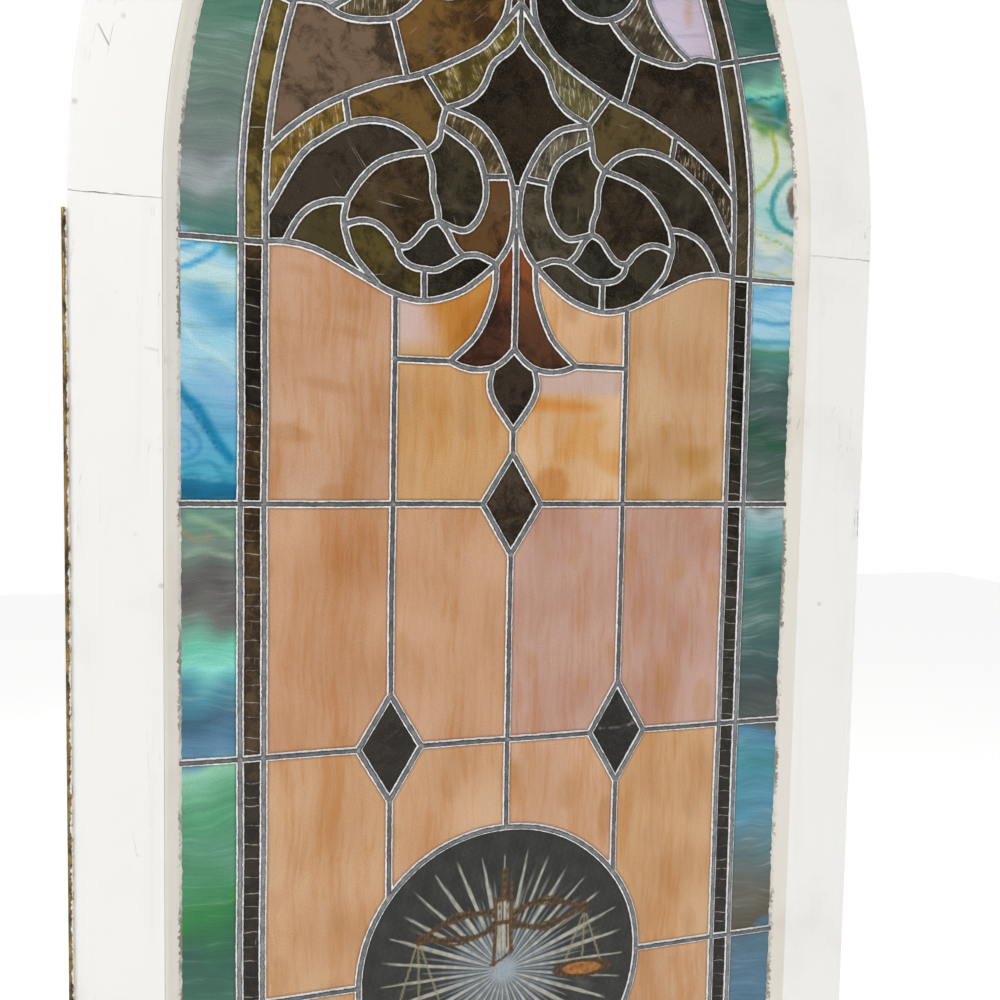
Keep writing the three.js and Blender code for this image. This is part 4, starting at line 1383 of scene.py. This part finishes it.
def solder_blob(piece, centre, legs, front):
    """A low blob over a joint: its outline reaches out along each came, and its height falls
    off from the centre as a superellipse."""
    turns = np.linspace(0, 2 * math.pi, BLOB_SPOKES, endpoint=False)
    reach = np.full(BLOB_SPOKES, BLOB_RADIUS)
    for leg in legs:
        apart = np.angle(np.exp(1j * (turns - math.atan2(leg[1], leg[0]))))
        reach += rng.uniform(1.2, 2.8) * np.exp(-((apart / 0.34) ** 2))
    reach *= 1 + 0.06 * np.sin(3 * turns + rng.uniform(0, 6))
    shares = np.array([0.2, 0.45, 0.7, 0.86, 0.96, 1.0])[:, None]
    height = 1.3 - 1.4 * np.sqrt(1 - shares**4)
    depth = height if front else CAME_DEPTH - height
    x = centre[0] + shares * reach * np.cos(turns)
    z = centre[1] + shares * reach * np.sin(turns)
    points = np.vstack([table_of(x, depth, z), [[centre[0], depth[0, 0], centre[1]]]])
    walls, inner, outer = tube_faces(len(shares), BLOB_SPOKES)
    fan = np.column_stack([inner[0], np.roll(inner[0], -1), np.full(BLOB_SPOKES, len(points) - 1)])
    piece.add(points, [walls, fan, outer])


def make_leadwork():
    parts = {"cames_scrollwork": curved, "cames_arches": arcs, "cames_grid": straight}
    start = 0
    for name, lines in parts.items():
        piece = Piece(name)
        grid = name == "cames_grid"
        for line in open_lines[start : start + len(lines)]:
            # Straight cames get a large share of painted shade in their colour, the scroll cames none.
            add_came(piece, line, False, STRAIGHT_FACE if grid else CAME_FACE, 0.8 if grid else 0.0)
        start += len(lines)
        if grid:
            for ring in rings:
                # Rings get a smaller share of painted shade.
                add_came(piece, ring, True, CAME_FACE, 0.3)
            add_came(piece, edge_line, True, EDGE_CAME)
        piece.make(LEAD, stands_for=["leadwork"] if grid else [])
    solder = Piece("solder_joints")
    done = np.zeros((0, 2))
    for centre, legs in joints:
        if len(done) and np.hypot(*(done - centre).T).min() < 3.0:
            continue
        done = np.vstack([done, centre])
        for front in (True, False):
            solder_blob(solder, centre, legs, front)
    solder.make(SOLDER)
    print(f"{len(done)} blobs of solder on each side")


make_leadwork()

# %% [markdown]
# ## Sash and putty
#
# The wood is an L in section, a face and a rebate, with its arrises rounded by wear. Stile and
# head meet in a slightly jagged line, where the paint has a crack.

# %%
WEAR = 1.3


def rounded(corners, radii, steps=4):
    """A closed section with each corner rounded by its radius, as an arc of a few points."""
    corners = np.array(corners, float)
    made = []
    neighbours = zip(np.roll(corners, 1, 0), corners, np.roll(corners, -1, 0), radii)
    for before, corner, after, radius in neighbours:
        into = (before - corner) / np.linalg.norm(before - corner)
        out = (after - corner) / np.linalg.norm(after - corner)
        for t in np.linspace(0, 1, steps):
            made.append(corner + radius * (into * (1 - t) ** 2 + out * t**2))
    return np.array(made)


WOOD_SECTION = rounded(
    [
        (REBATE, SASH_FRONT), (SASH, SASH_FRONT), (SASH, SASH_BACK),
        (SIGHT, SASH_BACK), (SIGHT, REBATE_DEPTH), (REBATE, REBATE_DEPTH),
    ],
    [0.5, WEAR, WEAR, WEAR, 0.5, 0.5],
)


def jag(across, seed):
    """The small ups and downs of a cracked joint along the width of the wood."""
    return 0.35 * ripple(across, across * 0, 26, seed) + 0.25 * ripple(across, across * 0, 6, seed + 1)


def make_member(name, path, section, hand, seed, length):
    """One stile or one side of the head: wood carried along a path. path(half, seed) gives the
    points at a half width, the same count for every half width, from one end to the other."""
    lines = np.stack([path(half, seed) for half in section[:, 0]], 1)
    depth = np.broadcast_to(section[:, 1], lines.shape[:2])
    middle = (SASH_FRONT + SASH_BACK) / 2
    hollow = 0.2 * np.abs(ripple(lines[..., 0], lines[..., 1], 210, 71))
    on_face = np.abs(depth - middle) > middle - SASH_FRONT - 2
    depth = depth + hollow * np.where(on_face, np.sign(middle - depth), 0)
    points = table_of(hand * lines[..., 0], depth, lines[..., 1])
    share = np.linspace(0, length, len(lines))[:, None]
    grain = table_of(section[:, 0], depth, share) / 1000
    piece = Piece(f"painted_{name}")
    piece.add(points, tube_faces(len(lines), len(section)), grain=grain)
    piece.make(PAINT, stands_for=[name], smooth=40)


STILE_ROWS, HEAD_ROWS = 60, 90


def stile_path(half, seed):
    """Straight up from the foot to the springing, where the end is a little jagged."""
    rows = np.linspace(SASH_FOOT, SPRINGING, STILE_ROWS)
    lift = jag(np.array([half]), seed)[0] - 0.2
    rows = rows + lift * smooth(rows, SPRINGING - 30, SPRINGING)
    return np.column_stack([np.full(STILE_ROWS, half), rows])


def head_path(half, seed):
    """Along the arc to just past the centre line, from the stile's jagged end."""
    turns = np.linspace(0, arc_top(half, 0.2), HEAD_ROWS)
    points = arc_point(half, turns)
    points[:, 1] += (jag(np.array([half]), seed)[0] + 0.2) * (1 - smooth(turns, 0, 0.05))
    return points


def widened(section, rows):
    """The section with extra points across its front face, so that jagged ends have room."""
    face = np.column_stack([np.linspace(REBATE + 2, SASH - 3, rows), np.full(rows, SASH_FRONT)])
    at = int(np.argmax(section[:, 0] > REBATE + 5))
    return np.vstack([section[:at], face, section[at:]])


RAIL_STATIONS = 41


def make_rail():
    """The bottom rail, between the stiles: its section goes straight across."""
    front_top = SIGHT_FOOT - (REBATE - SIGHT)
    rebate = REBATE_DEPTH - 0.3
    outline = rounded(
        [
            (SASH_FOOT, SASH_BACK), (SASH_FOOT, SASH_FRONT), (front_top, SASH_FRONT),
            (front_top, rebate), (SIGHT_FOOT, rebate), (SIGHT_FOOT, SASH_BACK),
        ],
        [WEAR, WEAR, 0.5, 0.5, 0.5, WEAR],
    )
    reach = np.where(outline[:, 1] < rebate + 0.1, REBATE, SIGHT) - 0.3
    across = np.linspace(-1, 1, RAIL_STATIONS)[:, None] * reach
    points = table_of(across, outline[:, 1], outline[:, 0])
    rail = Piece("painted_bottom_rail")
    rail.add(points, tube_faces(RAIL_STATIONS, len(outline)), grain=points[:, ::-1] / 1000)
    rail.make(PAINT, stands_for=["bottom_rail"], smooth=40)


def make_sash():
    section = widened(WOOD_SECTION, 24)
    for hand, word in HANDS:
        seed = 80 + hand
        make_member(f"stile_{word}", stile_path, section, hand, seed, SPRINGING - SASH_FOOT)
        make_member(f"head_{word}", head_path, section, hand, seed, 900)
    make_rail()
    print("two stiles, two sides of the head and a bottom rail made")


SIDE_ROWS, ARC_ROWS, FOOT_ROWS = 420, 260, 160


def outline_at(half):
    """The whole pointed outline at a half width, the same count of points for any of them."""
    foot = SIGHT_FOOT - (half - SIGHT)
    up = np.column_stack([np.full(SIDE_ROWS, half), np.linspace(foot, SPRINGING, SIDE_ROWS)])
    one = np.vstack([up, arc_point(half, np.linspace(0, arc_top(half), ARC_ROWS)[1:])])
    across = np.linspace(-half, half, FOOT_ROWS)[1:-1]
    return np.vstack([one, (one * [-1, 1])[::-1][1:], table_of(across, foot)])


def make_putty():
    """The bead: a bevel from the wood's face down to the glass, its toe ragged where the paint
    was cut in over the glass, more so on the right."""
    base = outline_at(SIGHT)
    x, z = base[:, 0], base[:, 1]
    rag = np.abs(ripple(x, z, 9, 91)) * 1.1 + np.abs(ripple(x, z, 3.5, 92)) * 0.6
    rag *= np.where(x > 0, 1.0, 0.55)
    lump = 0.35 * ripple(x, z, 26, 93)
    rows = [  # half width, depth, how ragged, how lumpy
        (REBATE - 0.25, SASH_FRONT + 0.25, 0, 0),
        (REBATE - 1.2, SASH_FRONT + 0.3, 0, 0),
        (REBATE - 4.5, SASH_FRONT + 3.0, 0, 0.5),
        (REBATE - 8.0, SASH_FRONT + 5.6, 0, 1.0),
        (REBATE - 11.5, SASH_FRONT + 8.0, 0.1, 0.7),
        (SIGHT + 0.3, -0.1, 0.3, 0.4),
        (SIGHT - 0.4, 1.0, 0.6, 0),
        (SIGHT - 1.2, 1.25, 1.0, 0),
        (SIGHT - 1.4, 1.6, 1.0, 0),
        (REBATE - 0.25, 1.6, 0, 0),
    ]
    lines = []
    for half, depth, ragged, lumpy in rows:
        line = outline_at(half)
        inward = outline_at(half - 1) - line
        line = line + inward * (rag * ragged + lump * lumpy)[:, None]
        lines.append(np.insert(line, 1, depth, axis=1))
    ring = np.stack(lines, 1)
    across = np.array([row[0] for row in rows])
    run = np.concatenate([[0], np.cumsum(np.hypot(*np.diff(base, axis=0).T))])
    grain = table_of(across, ring[..., 1], run[:, None]) / 1000
    piece = Piece("putty_bead")
    piece.add(ring.reshape(-1, 3), tube_faces(len(base), len(rows), closed=True), grain=grain)
    piece.make(PUTTY, stands_for=["glazing_putty"], smooth=50)


make_sash()
make_putty()

# %% [markdown]
# ## Hinge
#
# A continuous hinge: two brass leaves whose knuckles alternate along one pin, with countersunk
# screws. White paint fills the gap between the barrel and the stile.

# %%
SCREW_PITCH = 50.8


def lathe(piece, profile, centre, axis, sides=24):
    """A round body about a line along an axis, "x" or "z": profile rows are (radius, along)."""
    profile = np.array(profile, float)
    turns = np.linspace(0, 2 * math.pi, sides, endpoint=False)
    ring = np.stack([np.cos(turns), np.sin(turns)], -1)
    body = profile[:, 0, None, None] * ring
    along = np.broadcast_to(profile[:, 1, None], body.shape[:2])
    local = {"z": (body[..., 0], body[..., 1], along), "x": (along, body[..., 0], body[..., 1])}
    piece.add(table_of(*local[axis]) + centre, tube_faces(len(profile), sides))


def block(piece, low, high):
    """A box between two corners."""
    corners = np.array([[(low, high)[(i >> k) & 1][k] for k in range(3)] for i in range(8)], float)
    faces = [[0, 2, 3, 1], [4, 5, 7, 6], [0, 1, 5, 4], [2, 6, 7, 3], [0, 4, 6, 2], [1, 3, 7, 5]]
    piece.add(corners, [np.array(faces)])


SCREW_HEAD = [(3.1, 0.3), (3.1, 0.12), (2.7, 0.05), (1.2, 0.02)]
LEAF_THICKNESS = 0.88
BARREL_PLAY = 0.02


def make_leaf(name, hand, first, body, node):
    """A leaf, its share of the knuckles and the tongues that join them to it."""
    piece = Piece(name)
    r = BARREL_RADIUS - BARREL_PLAY
    face = PIN_X + hand * (r - LEAF_THICKNESS)
    low, high = sorted((face, PIN_X + hand * r))
    clear = PIN_Y + BARREL_RADIUS + CLEARANCE
    block(piece, (low, clear, HINGE_FOOT), (high, PIN_Y + LEAF_WIDTH, HINGE_TOP))
    for i in range(first, KNUCKLES, 2):
        foot, top = HINGE_FOOT + i * KNUCKLE + 0.15, HINGE_FOOT + (i + 1) * KNUCKLE - 0.15
        profile = [(r - 0.7, foot), (r - 0.25, foot), (r, foot + 0.25)]
        profile += [(r, top - 0.25), (r - 0.25, top), (r - 0.7, top)]
        lathe(piece, profile, (PIN_X, PIN_Y, 0), "z", 20)
        block(piece, (low, PIN_Y + 0.4, foot), (high, clear + 0.2, top))
    piece.make(BRASS, body, [node], smooth=30)
    screws = Piece(f"{name}_screws")
    for i in range(int((HINGE_TOP - HINGE_FOOT) / SCREW_PITCH)):
        z = HINGE_FOOT + (i + 0.5) * SCREW_PITCH
        y = PIN_Y + BARREL_RADIUS + (7.0 if i % 2 else 11.5)
        profile = [(radius, hand * (along - 0.12) * 0.9) for radius, along in SCREW_HEAD]
        lathe(screws, profile, (face, y, z), "x", 20)
    screws.make(BRASS, body, smooth=30)


make_leaf("sash_leaf", 1, 1, "sash", "hinge_leaf_sash")
make_leaf("jamb_leaf", -1, 0, "jamb_leaf", "hinge_leaf_jamb")
pin = Piece("hinge_pin")
ends = [(0.9, HINGE_FOOT + 0.2), (1.25, HINGE_FOOT + 0.4), (1.25, HINGE_TOP - 0.4), (0.9, HINGE_TOP - 0.2)]
lathe(pin, ends, (PIN_X, PIN_Y, 0), "z", 16)
pin.make(BRASS, "jamb_leaf")

filled = Piece("paint_beside_barrel")
front_edge, leaf_edge = SASH_FRONT + 0.9, PIN_Y + BARREL_RADIUS + 0.28
block(filled, (-SASH - 0.27, front_edge, HINGE_FOOT), (-SASH + 0.6, leaf_edge, HINGE_TOP))
filled.make(PAINT)

# %% [markdown]
# ## Stage, light and camera

# %%
FLOOR_SIZE = 14.0
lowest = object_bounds()[0][2]
bpy.ops.mesh.primitive_plane_add(size=FLOOR_SIZE, location=(0.4, 0, lowest - 0.001))
floor = bpy.context.object
floor.name = "floor"
pale = Nodes(
    "pale_floor", roughness=0.8, Base_Color=(0.8, 0.8, 0.79, 1),
    Emission_Color=(1, 1, 1, 1), Emission_Strength=0.6,
)
floor.data.materials.append(pale.material)


def studio_world():
    """A pale room, bright behind and above the window and dimmer in front of it, so that the
    glass doesn't mirror it, on a white backdrop."""
    world = bpy.data.worlds.new("studio")
    world.use_nodes = True
    tree = world.node_tree
    background = tree.nodes["Background"]
    place = tree.nodes.new("ShaderNodeTexCoord")
    parts = tree.nodes.new("ShaderNodeSeparateXYZ")
    depth = tree.nodes.new("ShaderNodeMapRange")
    path = tree.nodes.new("ShaderNodeLightPath")
    most = tree.nodes.new("ShaderNodeMath")
    most.operation = "MAXIMUM"
    for key, value in {"From Min": -0.6, "From Max": 0.2, "To Min": 0.22, "To Max": 0.5}.items():
        depth.inputs[key].default_value = value
    background.inputs["Color"].default_value = (1.0, 1.0, 1.0, 1)
    tree.links.new(place.outputs["Generated"], parts.inputs[0])
    tree.links.new(parts.outputs[1], depth.inputs["Value"])
    tree.links.new(depth.outputs[0], most.inputs[0])
    tree.links.new(path.outputs["Is Camera Ray"], most.inputs[1])
    tree.links.new(most.outputs[0], background.inputs["Strength"])
    bpy.context.scene.world = world


studio_world()
bpy.context.scene.view_settings.view_transform = "Standard"


LIT_POINT = Vector((0.4, 0, 0.2))


def area_light(name, place, size, power):
    """A square light that faces the lit point."""
    light = bpy.data.lights.new(name, "AREA")
    light.energy, light.size = power, size
    made = bpy.data.objects.new(name, light)
    made.location = place
    made.rotation_euler = (LIT_POINT - Vector(place)).to_track_quat("-Z", "Y").to_euler()
    bpy.context.collection.objects.link(made)


area_light("key", (-1.4, -2.6, 2.2), size=1.8, power=55)
area_light("fill", (3.4, -1.3, 0.8), size=1.6, power=13)
area_light("back", (0.4, 2.6, 1.8), size=2.0, power=16)

FOCAL_LENGTH, SENSOR_WIDTH = 32.14, 36.0
CAMERA_RIGHT = Vector((0.9616, -0.2738, 0.0181))
CAMERA_UP = Vector((-0.0015, 0.0607, 0.9982))
CAMERA_PLACE = (np.array([-267.7, -890.7, 58.2]) - MOUNT) / 1000
lens = bpy.data.cameras.new("camera")
lens.lens, lens.sensor_width, lens.clip_start = FOCAL_LENGTH, SENSOR_WIDTH, 0.02
camera = bpy.data.objects.new("camera", lens)
back = CAMERA_RIGHT.cross(CAMERA_UP)
facing = Matrix((CAMERA_RIGHT, CAMERA_UP, back)).transposed().to_4x4()
camera.matrix_world = Matrix.Translation(CAMERA_PLACE) @ facing
bpy.context.collection.objects.link(camera)
bpy.context.scene.camera = camera
